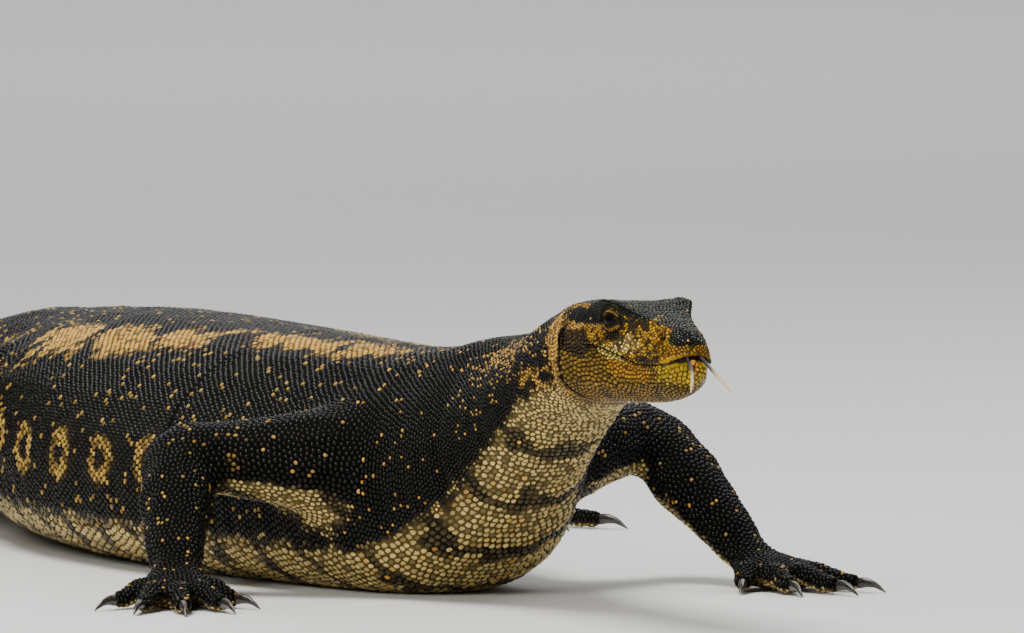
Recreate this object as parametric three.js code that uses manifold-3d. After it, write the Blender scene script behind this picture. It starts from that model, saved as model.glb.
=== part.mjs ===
// A water monitor lizard, life size and two metres long, lying on its belly with its head and neck
// raised, its tail in a slow wave and its forked tongue out. Millimetres, +Z up, +X forward along
// the trunk, +Y to the animal's left. The origin is on the flat of the belly, under mid trunk.
//
// Every cross-section of the head, neck, trunk and tail stands upright on one axis. A station is
// the distance from the snout's tip along that axis.

import * as THREE from "three";
import { mergeVertices } from "three/addons/utils/BufferGeometryUtils.js";
import Module from "manifold-3d";

const wasm = await Module();
wasm.setup();

// Driving dimensions
const headLength = 118; // snout tip to ear
const totalLength = 2000;
const originStation = 520;
const seam = 0.3; // the gap where two pieces meet
const mouthHeight = 124; // of the lips at the snout's tip, over the floor
const eyeRadius = 6.2;
const neckStart = 134;
const chestStart = 262;
const abdomenStart = 430;
const pelvisStart = 650;
const tailStart = 790;
const tailCuts = [1050, 1330, 1640];
const shoulderStation = 302;
const hipStation = 728;
const up = new THREE.Vector3(0, 0, 1);

// Materials
function finish(colour, roughness) {
  return new THREE.MeshStandardMaterial({ color: colour, roughness, metalness: 0 });
}
const finishes = {
  skin: finish(0x2b2418, 0.55),
  eye: finish(0x0a0806, 0.08),
  tongue: finish(0x8f8078, 0.35),
  claw: finish(0x17130f, 0.3),
};

// A smooth curve through a few [place, value] keys that never overshoots them
function profile(...keys) {
  const last = keys.length - 1;
  const slopes = keys.slice(1).map(([x, y], i) => (y - keys[i][1]) / (x - keys[i][0]));
  const lean = keys.map((key, i) => {
    if (i === 0 || i === last) return slopes[Math.min(i, last - 1)];
    const [before, after] = [slopes[i - 1], slopes[i]];
    return before * after <= 0 ? 0 : (2 * before * after) / (before + after);
  });
  return (where) => {
    if (where <= keys[0][0]) return keys[0][1];
    if (where >= keys[last][0]) return keys[last][1];
    const i = keys.findIndex(([x]) => x > where) - 1;
    const span = keys[i + 1][0] - keys[i][0];
    const t = (where - keys[i][0]) / span;
    const blend = t * t * (3 - 2 * t);
    const rise = t * (1 - t) * (1 - t) * span * lean[i];
    const fall = t * t * (1 - t) * span * lean[i + 1];
    return keys[i][1] * (1 - blend) + keys[i + 1][1] * blend + rise - fall;
  };
}

function evenly(from, to, steps) {
  return Array.from({ length: steps + 1 }, (_, i) => from + ((to - from) * i) / steps);
}

// Solids

// Stretches a cylinder's rings over the given rings of points, and closes both ends
function loft(rings) {
  const around = rings[0].length;
  const last = rings.length - 1;
  const sleeve = new THREE.CylinderGeometry(1, 1, 1, around, last);
  const places = sleeve.getAttribute("position");
  const centres = rings.map((ring) =>
    ring.reduce((sum, p) => sum.add(p), new THREE.Vector3()).divideScalar(around)
  );
  for (let i = 0; i < places.count; i++) {
    const [x, y, z] = [places.getX(i), places.getY(i), places.getZ(i)];
    const ring = Math.round((0.5 - y) * last);
    const turn = Math.round((Math.atan2(x, z) / (2 * Math.PI)) * around);
    const p = Math.hypot(x, z) < 0.5 ? centres[ring] : rings[ring][(turn + around) % around];
    places.setXYZ(i, p.x, p.y, p.z);
  }
  return solid(sleeve);
}

function solid(geometry) {
  const bare = geometry.index ? geometry.toNonIndexed() : geometry.clone();
  bare.deleteAttribute("normal");
  bare.deleteAttribute("uv");
  const merged = mergeVertices(bare, 1e-4);
  const vertProperties = merged.getAttribute("position").array;
  const corners = Array.from(merged.index.array);
  const make = (triVerts) =>
    new wasm.Manifold(new wasm.Mesh({ numProp: 3, vertProperties, triVerts }));
  const made = make(new Uint32Array(corners));
  return made.volume() > 0 ? made : make(new Uint32Array(corners.reverse()));
}

function joined(pieces) {
  return pieces.reduce((whole, piece) => whole.add(piece));
}

function largest(shape) {
  return shape.decompose().reduce((a, b) => (a.volume() > b.volume() ? a : b));
}

// Keeps what lies ahead of a plane through the point
function ahead(shape, point, direction) {
  const n = direction.clone().normalize();
  return shape.trimByPlane([n.x, n.y, n.z], n.dot(point));
}

function onFloor(shape) {
  return shape.trimByPlane([0, 0, 1], 0);
}

function ball(centre, radii, columns = 16, rows = 10) {
  const shape = new THREE.SphereGeometry(1, columns, rows);
  return solid(shape.scale(...radii).translate(centre.x, centre.y, centre.z));
}

// A tube along a curve, wide to the sides and deep up and down at each of its points
function tube(points, widths, depths, around) {
  const curve = new THREE.CatmullRomCurve3(points, false, "centripetal");
  const rings = points.map((point, i) => {
    const along = curve.getTangent(i / (points.length - 1));
    const side = new THREE.Vector3().crossVectors(along, up).normalize();
    const top = new THREE.Vector3().crossVectors(side, along);
    return Array.from({ length: around }, (_, k) => {
      const turn = (2 * Math.PI * k) / around;
      const ring = point.clone().addScaledVector(side, widths[i] * Math.cos(turn));
      return ring.addScaledVector(top, depths[i] * Math.sin(turn));
    });
  });
  return loft(rings);
}

// The body's axis, seen from above

const headingDegrees = profile(
  [0, -4], [130, -4], [220, 0], [310, 4], [430, 2], [560, -1], [700, -4],
  [820, -4], [980, 8], [1180, 26], [1350, 14], [1520, -22], [1720, -46], [1880, -26], [2000, 4]
);
const axisStep = 5;
const axisStart = -20;

function headingAt(station) {
  const turn = THREE.MathUtils.degToRad(headingDegrees(station));
  return new THREE.Vector3(Math.cos(turn), Math.sin(turn), 0);
}

const axisPoints = [new THREE.Vector3()];
for (let s = axisStart; s < totalLength; s += axisStep) {
  const step = headingAt(s + axisStep / 2).multiplyScalar(-axisStep);
  axisPoints.push(axisPoints.at(-1).clone().add(step));
}

function rawAxis(station) {
  const place = (station - axisStart) / axisStep;
  const i = THREE.MathUtils.clamp(Math.floor(place), 0, axisPoints.length - 2);
  return axisPoints[i].clone().lerp(axisPoints[i + 1], place - i);
}

const origin = rawAxis(originStation);

// A point of the body: its station, how far left of the axis, and its height
function place(station, left, height) {
  const heading = headingAt(station);
  const sideways = new THREE.Vector3(-heading.y, heading.x, 0);
  return rawAxis(station).sub(origin).addScaledVector(sideways, left).setZ(height);
}

// Neck, trunk and tail

const topHeight = profile(
  [100, 142], [122, 141.4], [140, 138.2], [155, 133.5], [175, 127.2], [195, 123.4], [209, 121.4],
  [235, 118.8], [249, 117.2], [262, 115], [278, 112.2], [295, 110.4], [330, 109.4], [450, 110.8],
  [580, 111.5], [660, 109], [730, 105], [790, 101.5], [860, 93], [940, 82], [1020, 72], [1120, 63],
  [1250, 55], [1500, 42], [1750, 27], [1920, 15], [2000, 5]
);
const bottomHeight = profile(
  [100, 96], [150, 87], [190, 64], [230, 36], [262, 14], [292, 1], [320, -2], [500, -3], [700, -2],
  [745, -1], [800, 4], [870, 9], [940, 8], [1010, 2], [1050, -1.4], [2000, -1]
);
const halfWidth = profile(
  [100, 26], [107, 24.8], [130, 25.5], [150, 27.5], [200, 31], [235, 38], [270, 50], [310, 62],
  [360, 72], [450, 83], [550, 86], [640, 79], [700, 66], [760, 51], [810, 44], [860, 38], [940, 31],
  [1050, 24], [1300, 15.5], [1600, 9.5], [1850, 5.6], [1960, 3.2], [2000, 1.5]
);
const widestShare = profile([130, 0.5], [240, 0.46], [320, 0.42], [700, 0.42], [900, 0.44]);
const upperPower = profile(
  [120, 2.1], [150, 1.95], [300, 2.0], [450, 2.1], [700, 2.0], [900, 1.75], [1300, 1.6]
);
const lowerPower = profile([130, 2.3], [300, 2.5], [500, 2.9], [700, 2.6], [900, 2.2]);

// Loose skin stands in folds behind the jaw and before the shoulder
const skinFolds = [
  { station: 114.5, swell: 2.2, spread: 3.2 },
  { station: 158, swell: 1.0, spread: 6 },
  { station: 246, swell: 2.2, spread: 7 },
];

function foldSwell(station) {
  const one = (fold) => fold.swell * Math.exp(-(((station - fold.station) / fold.spread) ** 2));
  return skinFolds.reduce((sum, fold) => sum + one(fold), 0);
}

function powerOf(value, power) {
  return Math.sign(value) * Math.abs(value) ** (2 / power);
}

// [left, height] of a section of the neck, trunk or tail, from the top round by the left
function bodyOutline(station, turn, grow) {
  const top = topHeight(station) + grow;
  const bottom = bottomHeight(station) - grow;
  const widest = bottom + (top - bottom) * widestShare(station);
  const upper = Math.cos(turn) >= 0;
  const power = upper ? upperPower(station) : lowerPower(station);
  const reach = upper ? top - widest : widest - bottom;
  const width = halfWidth(station) + foldSwell(station) + grow;
  return [width * powerOf(Math.sin(turn), power), widest + reach * powerOf(Math.cos(turn), power)];
}

// Head: curves along it, all as shares of its length, heights over the lips at the snout's tip

const crownHeight = profile(
  [0, 0.008], [0.02, 0.046], [0.06, 0.078], [0.15, 0.106], [0.3, 0.13], [0.4, 0.147], [0.5, 0.162],
  [0.6, 0.165], [0.75, 0.16], [0.9, 0.154], [1.05, 0.15], [1.2, 0.14]
);
const browSide = profile(
  [0, 0.004], [0.02, 0.022], [0.06, 0.04], [0.15, 0.058], [0.3, 0.092], [0.4, 0.126], [0.47, 0.158],
  [0.55, 0.168], [0.64, 0.158], [0.78, 0.15], [0.9, 0.152], [1.05, 0.14], [1.2, 0.125]
);
const browHeight = profile(
  [0, 0.006], [0.02, 0.04], [0.06, 0.066], [0.15, 0.096], [0.3, 0.122], [0.4, 0.148], [0.47, 0.172],
  [0.55, 0.178], [0.66, 0.162], [0.9, 0.142], [1.05, 0.128], [1.2, 0.112]
);
const cheekSide = profile(
  [0, 0.006], [0.02, 0.042], [0.06, 0.07], [0.15, 0.09], [0.3, 0.106], [0.4, 0.12], [0.5, 0.14],
  [0.6, 0.162], [0.75, 0.196], [0.88, 0.216], [1.05, 0.206], [1.2, 0.196]
);
const cheekHeight = profile(
  [0, 0.004], [0.02, 0.018], [0.06, 0.032], [0.15, 0.044], [0.3, 0.052], [0.45, 0.068], [0.6, 0.076],
  [0.9, 0.062], [1.2, 0.05]
);
const lipSide = profile(
  [0, 0.008], [0.02, 0.054], [0.06, 0.086], [0.15, 0.107], [0.3, 0.127], [0.4, 0.144], [0.5, 0.166],
  [0.6, 0.19], [0.75, 0.224], [0.85, 0.238], [0.9, 0.222], [1.05, 0.212], [1.2, 0.205]
);
const mouthLine = profile(
  [0, -0.009], [0.02, -0.0155], [0.04, -0.0245], [0.06, -0.034], [0.15, -0.045], [0.26, -0.049],
  [0.34, -0.042], [0.4, -0.029], [0.5, -0.0118], [0.6, 0.0035], [0.68, 0.005], [0.78, -0.001],
  [0.87, -0.006], [1.2, -0.02]
);
const jawSide = profile(
  [0, 0.006], [0.02, 0.046], [0.06, 0.07], [0.15, 0.094], [0.3, 0.116], [0.4, 0.132], [0.5, 0.154],
  [0.6, 0.18], [0.75, 0.214], [0.86, 0.234], [0.92, 0.215], [1.05, 0.204], [1.2, 0.2]
);
const jawHeight = profile(
  [0, -0.024], [0.02, -0.056], [0.06, -0.082], [0.15, -0.108], [0.3, -0.128], [0.6, -0.13], [1.2, -0.135]
);
const chinHeight = profile(
  [0, -0.036], [0.02, -0.092], [0.06, -0.132], [0.15, -0.168], [0.3, -0.192], [0.5, -0.206],
  [0.75, -0.218], [1.0, -0.24], [1.2, -0.266]
);
const lipRise = 0.024;
const crease = 0.985; // the lips roll in a little to the mouth line
const chinTuck = 0.62;
const chinLift = 0.02;
const pointsPerSpan = 2;

// [left, height] points of the head's section, from the top round by the left
function headOutline(station) {
  const s = station / headLength;
  const [lip, mouth] = [lipSide(s), mouthLine(s)];
  const half = [
    [0, crownHeight(s)],
    [browSide(s) * 0.6, crownHeight(s) + (browHeight(s) - crownHeight(s)) * 0.55],
    [browSide(s), browHeight(s)],
    [cheekSide(s), cheekHeight(s)],
    [lip, mouth + lipRise],
    [lip * crease, mouth],
    [jawSide(s) * 1.01, mouth - lipRise],
    [jawSide(s), jawHeight(s)],
    [jawSide(s) * chinTuck, chinHeight(s) + chinLift],
    [0, chinHeight(s)],
  ];
  const mirror = half.slice(1, -1).reverse().map(([left, height]) => [-left, height]);
  const corners = [...half, ...mirror].map(([left, height]) => new THREE.Vector3(left, height, 0));
  const curve = new THREE.CatmullRomCurve3(corners, true, "centripetal");
  const count = corners.length * pointsPerSpan;
  return Array.from({ length: count }, (_, i) => {
    const p = curve.getPoint(i / count);
    return [p.x * headLength, mouthHeight + p.y * headLength];
  });
}

const headEnds = 0.9;
const neckFull = 1.2;
const headAround = 18 * pointsPerSpan;

// A ring of the whole animal's surface
function ring(station, around, grow = 0) {
  const share = THREE.MathUtils.smoothstep(station / headLength, headEnds, neckFull);
  const head = share < 1 ? headOutline(station) : [];
  return Array.from({ length: around }, (_, i) => {
    const turn = (2 * Math.PI * i) / around;
    let [left, height] = bodyOutline(Math.max(station, 100), turn, grow);
    if (share < 1) {
      const at = (i / around) * headAround;
      const [a, b] = [head[Math.floor(at)], head[Math.ceil(at) % headAround]];
      const part = at - Math.floor(at);
      const [headLeft, headHeight] = [0, 1].map((k) => a[k] * (1 - part) + b[k] * part);
      left = headLeft * (1 - share) + left * share;
      height = headHeight * (1 - share) + height * share;
    }
    return place(station, left, height);
  });
}

function bodyLength(stations, around, grow = 0) {
  return onFloor(loft(stations.map((s) => ring(s, around, grow))));
}

// Head features, set in the head's own frame: back from the snout tip, left, and up from the lips

function headPoint(back, left, rise) {
  return place(back, left, mouthHeight + rise);
}

function headBall(back, left, rise, radii, tiltDegrees = 0, turnDegrees = 0) {
  const shape = new THREE.SphereGeometry(1, 16, 10);
  shape.scale(...radii);
  shape.rotateY(THREE.MathUtils.degToRad(tiltDegrees));
  shape.rotateZ(THREE.MathUtils.degToRad(turnDegrees + headingDegrees(0)));
  const p = headPoint(back, left, rise);
  return solid(shape.translate(p.x, p.y, p.z));
}

const eyePlace = { back: 61, side: 13.6, rise: 11.8 };
const eyeTurn = 22; // the eyes look a little forward
const lidThickness = 1.3;
const nostril = { back: 16, side: 7.9, rise: 6.2 };
const ear = { back: 98.5, side: 27, rise: 3 };
const tongueFork = 5;

function eyeSocket(side) {
  const { back, side: out, rise } = eyePlace;
  const swell = eyeRadius + lidThickness;
  const hollow = eyeRadius + seam;
  const turn = THREE.MathUtils.degToRad(eyeTurn);
  const lidBack = back - swell * Math.sin(turn);
  const lidSide = side * (out + swell * Math.cos(turn));
  return {
    lids: headBall(back, side * out, rise, [swell, swell, swell]),
    hollow: headBall(back, side * out, rise, [hollow, hollow, hollow]),
    opening: headBall(lidBack, lidSide, rise + 0.3, [4.7, 4.2, 3.4], 0, -side * eyeTurn),
  };
}

// The gap between the lips: a sheet that follows the mouth line to its corner, then turns down
// behind the jaw. It is open at the front, where the tongue comes out.
const lipGap = profile([0, 1.5], [1.5, 1.2], [3, 0.5], [6, 0.15], [200, 0.15]);
const cornerStation = 80;

function mouthSheet() {
  const stations = [-4, 0, 1.2, 2.4, 4, 6, 9, 13, ...evenly(18, cornerStation, 9)];
  const line = stations.map((s) => {
    const height = mouthLine(s / headLength) * headLength;
    const centre = new THREE.Vector2(-s, height);
    return { centre, gap: lipGap(s), normal: new THREE.Vector2(0, 1) };
  });
  const behindJaw = [[87, -2.5], [95, -8], [103, -16], [109, -26], [111, -50]];
  behindJaw.forEach(([back, rise]) => {
    const normal = new THREE.Vector2(-0.9, 0.44);
    line.push({ centre: new THREE.Vector2(-back, rise), gap: 0.15, normal });
  });
  const upper = line.map((p) => p.centre.clone().addScaledVector(p.normal, p.gap));
  const lower = line.map((p) => p.centre.clone().addScaledVector(p.normal, -p.gap));
  const shape = new THREE.Shape([...upper, ...lower.reverse()]);
  const breadth = 80; // wider than the head
  const sheet = new THREE.ExtrudeGeometry(shape, { depth: breadth, bevelEnabled: false });
  sheet.rotateX(Math.PI / 2).translate(0, breadth / 2, 0);
  sheet.rotateZ(THREE.MathUtils.degToRad(headingDegrees(0)));
  const tip = headPoint(0, 0, 0);
  return solid(sheet.translate(tip.x, tip.y, tip.z));
}

// The tongue: a short root in the mouth that forks before the lips into two drooping tines
function tongue(grow) {
  const root = tube(
    [headPoint(15 + grow, 0, -3.4), headPoint(9, 0, -2.0), headPoint(tongueFork - 2, 0, -1.2)],
    [3.0 + grow, 3.4 + grow, 3.6 + grow],
    [1.3 + grow, 1.3 + grow, 1.0 + grow],
    10
  );
  const tines = [-1, 1].map((side) =>
    tube(
      [
        headPoint(tongueFork, side * 2.3, -1.3),
        headPoint(1.3, side * 3.0, -1.2),
        headPoint(-4.3, side * 3.9, -3.6),
        headPoint(-11.6, side * 5.2, -7.6),
        headPoint(-18, side * 7.6, -12.0),
        headPoint(-21, side * 9.3, -14.9),
      ],
      [1.3, 1.1, 0.95, 0.8, 0.6, 0.25].map((r) => r + grow),
      [0.9, 0.9, 0.85, 0.75, 0.55, 0.22].map((r) => r + grow),
      8
    )
  );
  return joined([root, ...tines]);
}

function headPieces() {
  const tip = [0.15, 0.9, 2.4, 4.6, 7.5, 11, 15];
  const jowl = [100, 103, 106, 109, 112, 114.5, 118];
  const stations = [...tip, ...evenly(20, 50, 5), ...evenly(55, 95, 7), ...jowl, 123, 128, neckStart - seam];
  let whole = loft(stations.map((s) => ring(s, headAround)));
  const sockets = [-1, 1].map(eyeSocket);
  sockets.forEach((socket) => {
    whole = whole.add(socket.lids).subtract(socket.hollow).subtract(socket.opening);
  });
  for (const side of [-1, 1]) {
    const { back, side: out, rise } = nostril;
    const swelling = headBall(back, side * (out - 3.4), rise, [5.6, 4.4, 4.2], 0, side * 12);
    const hole = headBall(back + 0.4, side * (out + 0.6), rise - 0.2, [2.3, 2.6, 1.5], 30, side * 20);
    const cup = headBall(ear.back, side * ear.side, ear.rise, [2.6, 3.8, 5], 14);
    whole = whole.add(swelling).subtract(hole).subtract(cup);
  }
  whole = whole.subtract(mouthSheet()).subtract(tongue(0.5));
  const [upper, jaw] = whole.decompose().sort((a, b) => b.volume() - a.volume());
  return { upper, jaw };
}

// Legs

// Joints of each leg, as steps from the girdle: forward, outward and height over the floor
const legs = {
  foreleg_right: {
    station: shoulderStation, side: -1, root: [6, 26, 60], socket: [0, 50, 60],
    bend: [-44, 112, 62], end: [10, 139, 15], pointing: 24,
  },
  foreleg_left: {
    station: shoulderStation, side: 1, root: [6, 26, 60], socket: [0, 50, 60],
    bend: [-30, 118, 66], end: [30, 136, 15], pointing: 14,
  },
  hindleg_right: {
    station: hipStation, side: -1, root: [-4, 18, 54], socket: [2, 42, 56],
    bend: [42, 128, 66], end: [-28, 166, 17], pointing: 34,
  },
  hindleg_left: {
    station: hipStation, side: 1, root: [-4, 18, 54], socket: [2, 42, 56],
    bend: [56, 120, 66], end: [-12, 168, 17], pointing: 26,
  },
};
const foreSizes = {
  upper: { widths: [27, 26, 21, 17, 15], depths: [30, 28, 21, 16.5, 14.5] },
  lower: { widths: [13, 15.5, 17, 13.5, 11.5], depths: [13, 15.5, 16, 12, 9.5] },
  palm: { length: 32, widths: [11.5, 15, 18.5, 17], depths: [9.5, 9, 8, 6.5] },
  digits: [
    { spread: -46, length: 20, offset: -14, back: 13 },
    { spread: -22, length: 31, offset: -9, back: 3 },
    { spread: -2, length: 37, offset: 0, back: 0 },
    { spread: 16, length: 35, offset: 9, back: 3 },
    { spread: 42, length: 24, offset: 14, back: 12 },
  ],
  thickness: 5.6,
  claw: 15,
};
const hindSizes = {
  upper: { widths: [30, 33, 29, 22, 18.5], depths: [34, 34, 28, 21, 17.5] },
  lower: { widths: [15.5, 19, 20.5, 16, 13], depths: [15.5, 18.5, 19, 14.5, 11] },
  palm: { length: 44, widths: [13, 15.5, 18.5, 17.5], depths: [11, 9.5, 8, 6.5] },
  digits: [
    { spread: -44, length: 24, offset: -14, back: 18 },
    { spread: -22, length: 38, offset: -9, back: 4 },
    { spread: -5, length: 50, offset: -1, back: 0 },
    { spread: 13, length: 62, offset: 8, back: 2 },
    { spread: 48, length: 36, offset: 14, back: 20 },
  ],
  thickness: 6,
  claw: 16,
};

function legJoint(leg, [forward, outward, height]) {
  return place(leg.station - forward, leg.side * outward, height);
}

function between(a, b, shares) {
  return shares.map((share) => a.clone().lerp(b, share));
}

// A toe that arches from the foot to the floor, and the claw past its end
function digit(leg, sizes, wrist, pointing, spec) {
  const turn = (degrees) => THREE.MathUtils.degToRad(degrees) * leg.side;
  const across = new THREE.Vector3().crossVectors(up, pointing).multiplyScalar(leg.side);
  const along = pointing.clone().applyAxisAngle(up, turn(spec.spread));
  const base = wrist.clone().setZ(0).addScaledVector(pointing, sizes.palm.length - spec.back - 7);
  base.addScaledVector(across, spec.offset * 0.8);
  const thick = sizes.thickness;
  const at = (share, height) =>
    base.clone().addScaledVector(along, spec.length * share).setZ(height);
  const bones = tube(
    [at(0, thick * 1.25), at(0.34, thick * 1.5), at(0.78, thick * 0.84), at(1.08, thick * 0.7)],
    [1, 0.95, 0.8, 0.66].map((share) => share * thick),
    [1, 0.95, 0.8, 0.66].map((share) => share * thick),
    8
  );
  const tip = at(1, thick * 0.7);
  const claw = tube(
    [-0.15, 0.3, 0.66, 1].map((share, i) =>
      tip.clone().addScaledVector(along, sizes.claw * share).setZ(thick * [0.66, 0.86, 0.66, 0.08][i])
    ),
    [0.42, 0.36, 0.22, 0.03].map((r) => r * thick),
    [0.56, 0.46, 0.26, 0.04].map((r) => r * thick),
    6
  );
  const rootOfClaw = tip.clone().addScaledVector(along, seam);
  return { bones: ahead(bones, tip, along.clone().negate()), claw: ahead(claw, rootOfClaw, along) };
}

function legPieces(leg, sizes, trunk) {
  const [root, socket, bend, end] = ["root", "socket", "bend", "end"].map((k) => legJoint(leg, leg[k]));
  const upperShape = tube(
    [root, ...between(socket, bend, [0, 0.35, 0.75, 1.06])],
    sizes.upper.widths, sizes.upper.depths, 12
  );
  const lowerShape = tube(
    between(bend, end, [-0.08, 0.14, 0.38, 0.75, 1.04]),
    sizes.lower.widths, sizes.lower.depths, 12
  );
  const knob = sizes.lower.widths[0] * 1.12; // the elbow or knee, a little stouter than the bone
  const bent = joined([upperShape, lowerShape, ball(bend, [knob, knob, knob * 0.98], 12, 8)]);

  const heading = THREE.MathUtils.degToRad(leg.pointing) * leg.side;
  const pointing = headingAt(leg.station).applyAxisAngle(up, heading);
  const steps = [-0.1, 0.3, 0.72, 1];
  const palm = tube(
    steps.map((share, i) =>
      end.clone().addScaledVector(pointing, sizes.palm.length * share).setZ([end.z, 9.4, 7.4, 6][i])
    ),
    sizes.palm.widths, sizes.palm.depths, 10
  );
  const digits = sizes.digits.map((spec) => digit(leg, sizes, end, pointing, spec));

  const upperLine = bend.clone().sub(socket).normalize();
  const lowerLine = end.clone().sub(bend).normalize();
  const elbowPlane = upperLine.clone().add(lowerLine).normalize();
  const wristPlane = lowerLine.clone().add(pointing).normalize();
  const past = (point, plane) => point.clone().addScaledVector(plane, seam);
  const thigh = ahead(bent, bend, elbowPlane.clone().negate()).subtract(trunk);
  const shank = ahead(ahead(bent, past(bend, elbowPlane), elbowPlane), end, wristPlane.clone().negate());
  const foot = joined([lowerShape, palm, ...digits.map((d) => d.bones)]);
  const clear = ahead(foot, past(end, wristPlane), wristPlane);
  return {
    upper: largest(onFloor(thigh)),
    lower: largest(onFloor(shank.subtract(trunk))),
    foot: largest(onFloor(clear)),
    claws: digits.map((d) => largest(onFloor(d.claw))),
  };
}

// The whole animal

const animal = new THREE.Group();

function add(name, shape, material) {
  const { numProp, vertProperties, triVerts } = shape.getMesh();
  const count = vertProperties.length / numProp;
  const places = new Float32Array(count * 3);
  for (let i = 0; i < count; i++) {
    places.set(vertProperties.subarray(i * numProp, i * numProp + 3), i * 3);
  }
  const geometry = new THREE.BufferGeometry();
  geometry.setAttribute("position", new THREE.BufferAttribute(places, 3));
  geometry.setIndex(new THREE.BufferAttribute(triVerts, 1));
  const mesh = new THREE.Mesh(geometry, material);
  mesh.name = name;
  animal.add(mesh);
}

const { upper, jaw } = headPieces();
add("head", upper, finishes.skin);
add("lower_jaw", jaw, finishes.skin);
add("tongue", tongue(0), finishes.tongue);
for (const [name, side] of [["right", -1], ["left", 1]]) {
  const { back, side: out, rise } = eyePlace;
  add("eye_" + name, headBall(back, side * out, rise, [eyeRadius, eyeRadius, eyeRadius]), finishes.eye);
}

const trunkAround = 24;
const lengths = [
  { name: "neck", from: neckStart, to: chestStart, steps: 12, around: trunkAround },
  { name: "chest", from: chestStart, to: abdomenStart, steps: 10, around: trunkAround },
  { name: "abdomen", from: abdomenStart, to: pelvisStart, steps: 10, around: trunkAround },
  { name: "pelvis", from: pelvisStart, to: tailStart, steps: 9, around: trunkAround },
  { name: "tail_base", from: tailStart, to: tailCuts[0], steps: 9, around: 20 },
  { name: "tail_middle", from: tailCuts[0], to: tailCuts[1], steps: 10, around: 16 },
  { name: "tail_rear", from: tailCuts[1], to: tailCuts[2], steps: 12, around: 12 },
  { name: "tail_tip", from: tailCuts[2], to: totalLength + seam, steps: 16, around: 10 },
];

function stationsOf({ from, to, steps }) {
  return evenly(from, to - seam, steps);
}

lengths.forEach((part) => {
  add(part.name, bodyLength(stationsOf(part), part.around), finishes.skin);
});

// What the legs are cut back to, a seam's width clear of the body
const trunkParts = lengths.filter(({ around }) => around === trunkAround);
const trunk = bodyLength(trunkParts.flatMap(stationsOf), trunkAround, seam);
for (const [name, leg] of Object.entries(legs)) {
  const sizes = name.startsWith("fore") ? foreSizes : hindSizes;
  const [upperName, lowerName, footName] = name.startsWith("fore")
    ? ["upper_arm", "forearm", "hand"]
    : ["thigh", "shank", "foot"];
  const pieces = legPieces(leg, sizes, trunk);
  add(name + "_" + upperName, pieces.upper, finishes.skin);
  add(name + "_" + lowerName, pieces.lower, finishes.skin);
  add(name + "_" + footName, pieces.foot, finishes.skin);
  pieces.claws.forEach((claw, i) => add(name + "_claw_" + (i + 1), claw, finishes.claw));
}

export default animal;
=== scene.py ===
# A water monitor lizard, life size, dressed over its solids: one skin, a coat of scales grown on
# it row by row, eyes, a forked tongue and claws, on a pale floor under soft light.
# Blender's own metres, with sizes written in millimetres and turned by mm.

import math

import bmesh
import bpy
import numpy as np
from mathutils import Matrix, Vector, kdtree, noise
from mathutils.bvhtree import BVHTree


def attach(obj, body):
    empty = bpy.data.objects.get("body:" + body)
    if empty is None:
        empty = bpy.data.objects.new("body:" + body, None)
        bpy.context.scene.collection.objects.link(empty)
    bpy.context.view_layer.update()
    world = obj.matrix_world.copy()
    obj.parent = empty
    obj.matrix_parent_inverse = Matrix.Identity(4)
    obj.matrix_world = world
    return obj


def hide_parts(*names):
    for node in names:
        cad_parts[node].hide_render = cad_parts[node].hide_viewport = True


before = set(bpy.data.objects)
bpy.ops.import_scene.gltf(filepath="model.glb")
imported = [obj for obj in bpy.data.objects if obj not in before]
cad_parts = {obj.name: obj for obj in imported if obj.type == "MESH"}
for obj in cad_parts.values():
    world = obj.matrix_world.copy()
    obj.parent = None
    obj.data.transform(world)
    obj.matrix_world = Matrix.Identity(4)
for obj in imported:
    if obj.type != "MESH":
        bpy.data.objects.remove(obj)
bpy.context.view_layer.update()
mm = 0.001
random = np.random.default_rng(11)

# The view: straight to the aim from a long way off, as through a long lens

viewSettings = {
    "azimuth": 67,
    "elevation": 3.4,
    "distance": 8,
    "imageWidth": 1024,
    "imageHeight": 633,
    "pixelsPerMm": 2.31,
    "snoutPixel": (697, 355),
    "snoutTip": (519.2, 0.3, 124),
    "sensor": 36,
    "farthest": 100,
}


def makeCamera(settings):
    a, e = math.radians(settings["azimuth"]), math.radians(settings["elevation"])
    right = Vector((math.cos(a), math.sin(a), 0))
    back = Vector((math.cos(e) * math.sin(a), -math.cos(e) * math.cos(a), math.sin(e)))
    over = back.cross(right)
    pixel = mm / settings["pixelsPerMm"]
    acrossPixels = settings["snoutPixel"][0] - settings["imageWidth"] / 2
    downPixels = settings["snoutPixel"][1] - settings["imageHeight"] / 2
    aim = Vector(settings["snoutTip"]) * mm - right * acrossPixels * pixel + over * downPixels * pixel
    data = bpy.data.cameras.new("camera")
    data.sensor_width = settings["sensor"]
    data.lens = settings["sensor"] * settings["distance"] / (settings["imageWidth"] * pixel)
    data.clip_end = settings["farthest"]
    camera = bpy.data.objects.new("camera", data)
    camera.location = aim + back * settings["distance"]
    camera.rotation_mode = "QUATERNION"
    camera.rotation_quaternion = (-back).to_track_quat("-Z", "Y")
    bpy.context.scene.collection.objects.link(camera)
    bpy.context.scene.camera = camera


makeCamera(viewSettings)

# The body's axis, as the solids have it: a station is the distance back from the snout's tip

axisSettings = {
    "heading": [
        (0, -4), (130, -4), (220, 0), (310, 4), (430, 2), (560, -1), (700, -4), (820, -4),
        (980, 8), (1180, 26), (1350, 14), (1520, -22), (1720, -46), (1880, -26), (2000, 4),
    ],
    "start": -20,
    "end": 2000,
    "step": 5,
    "origin": 520,
    "mouthHeight": 124,
    "headLength": 118,
}


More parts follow.
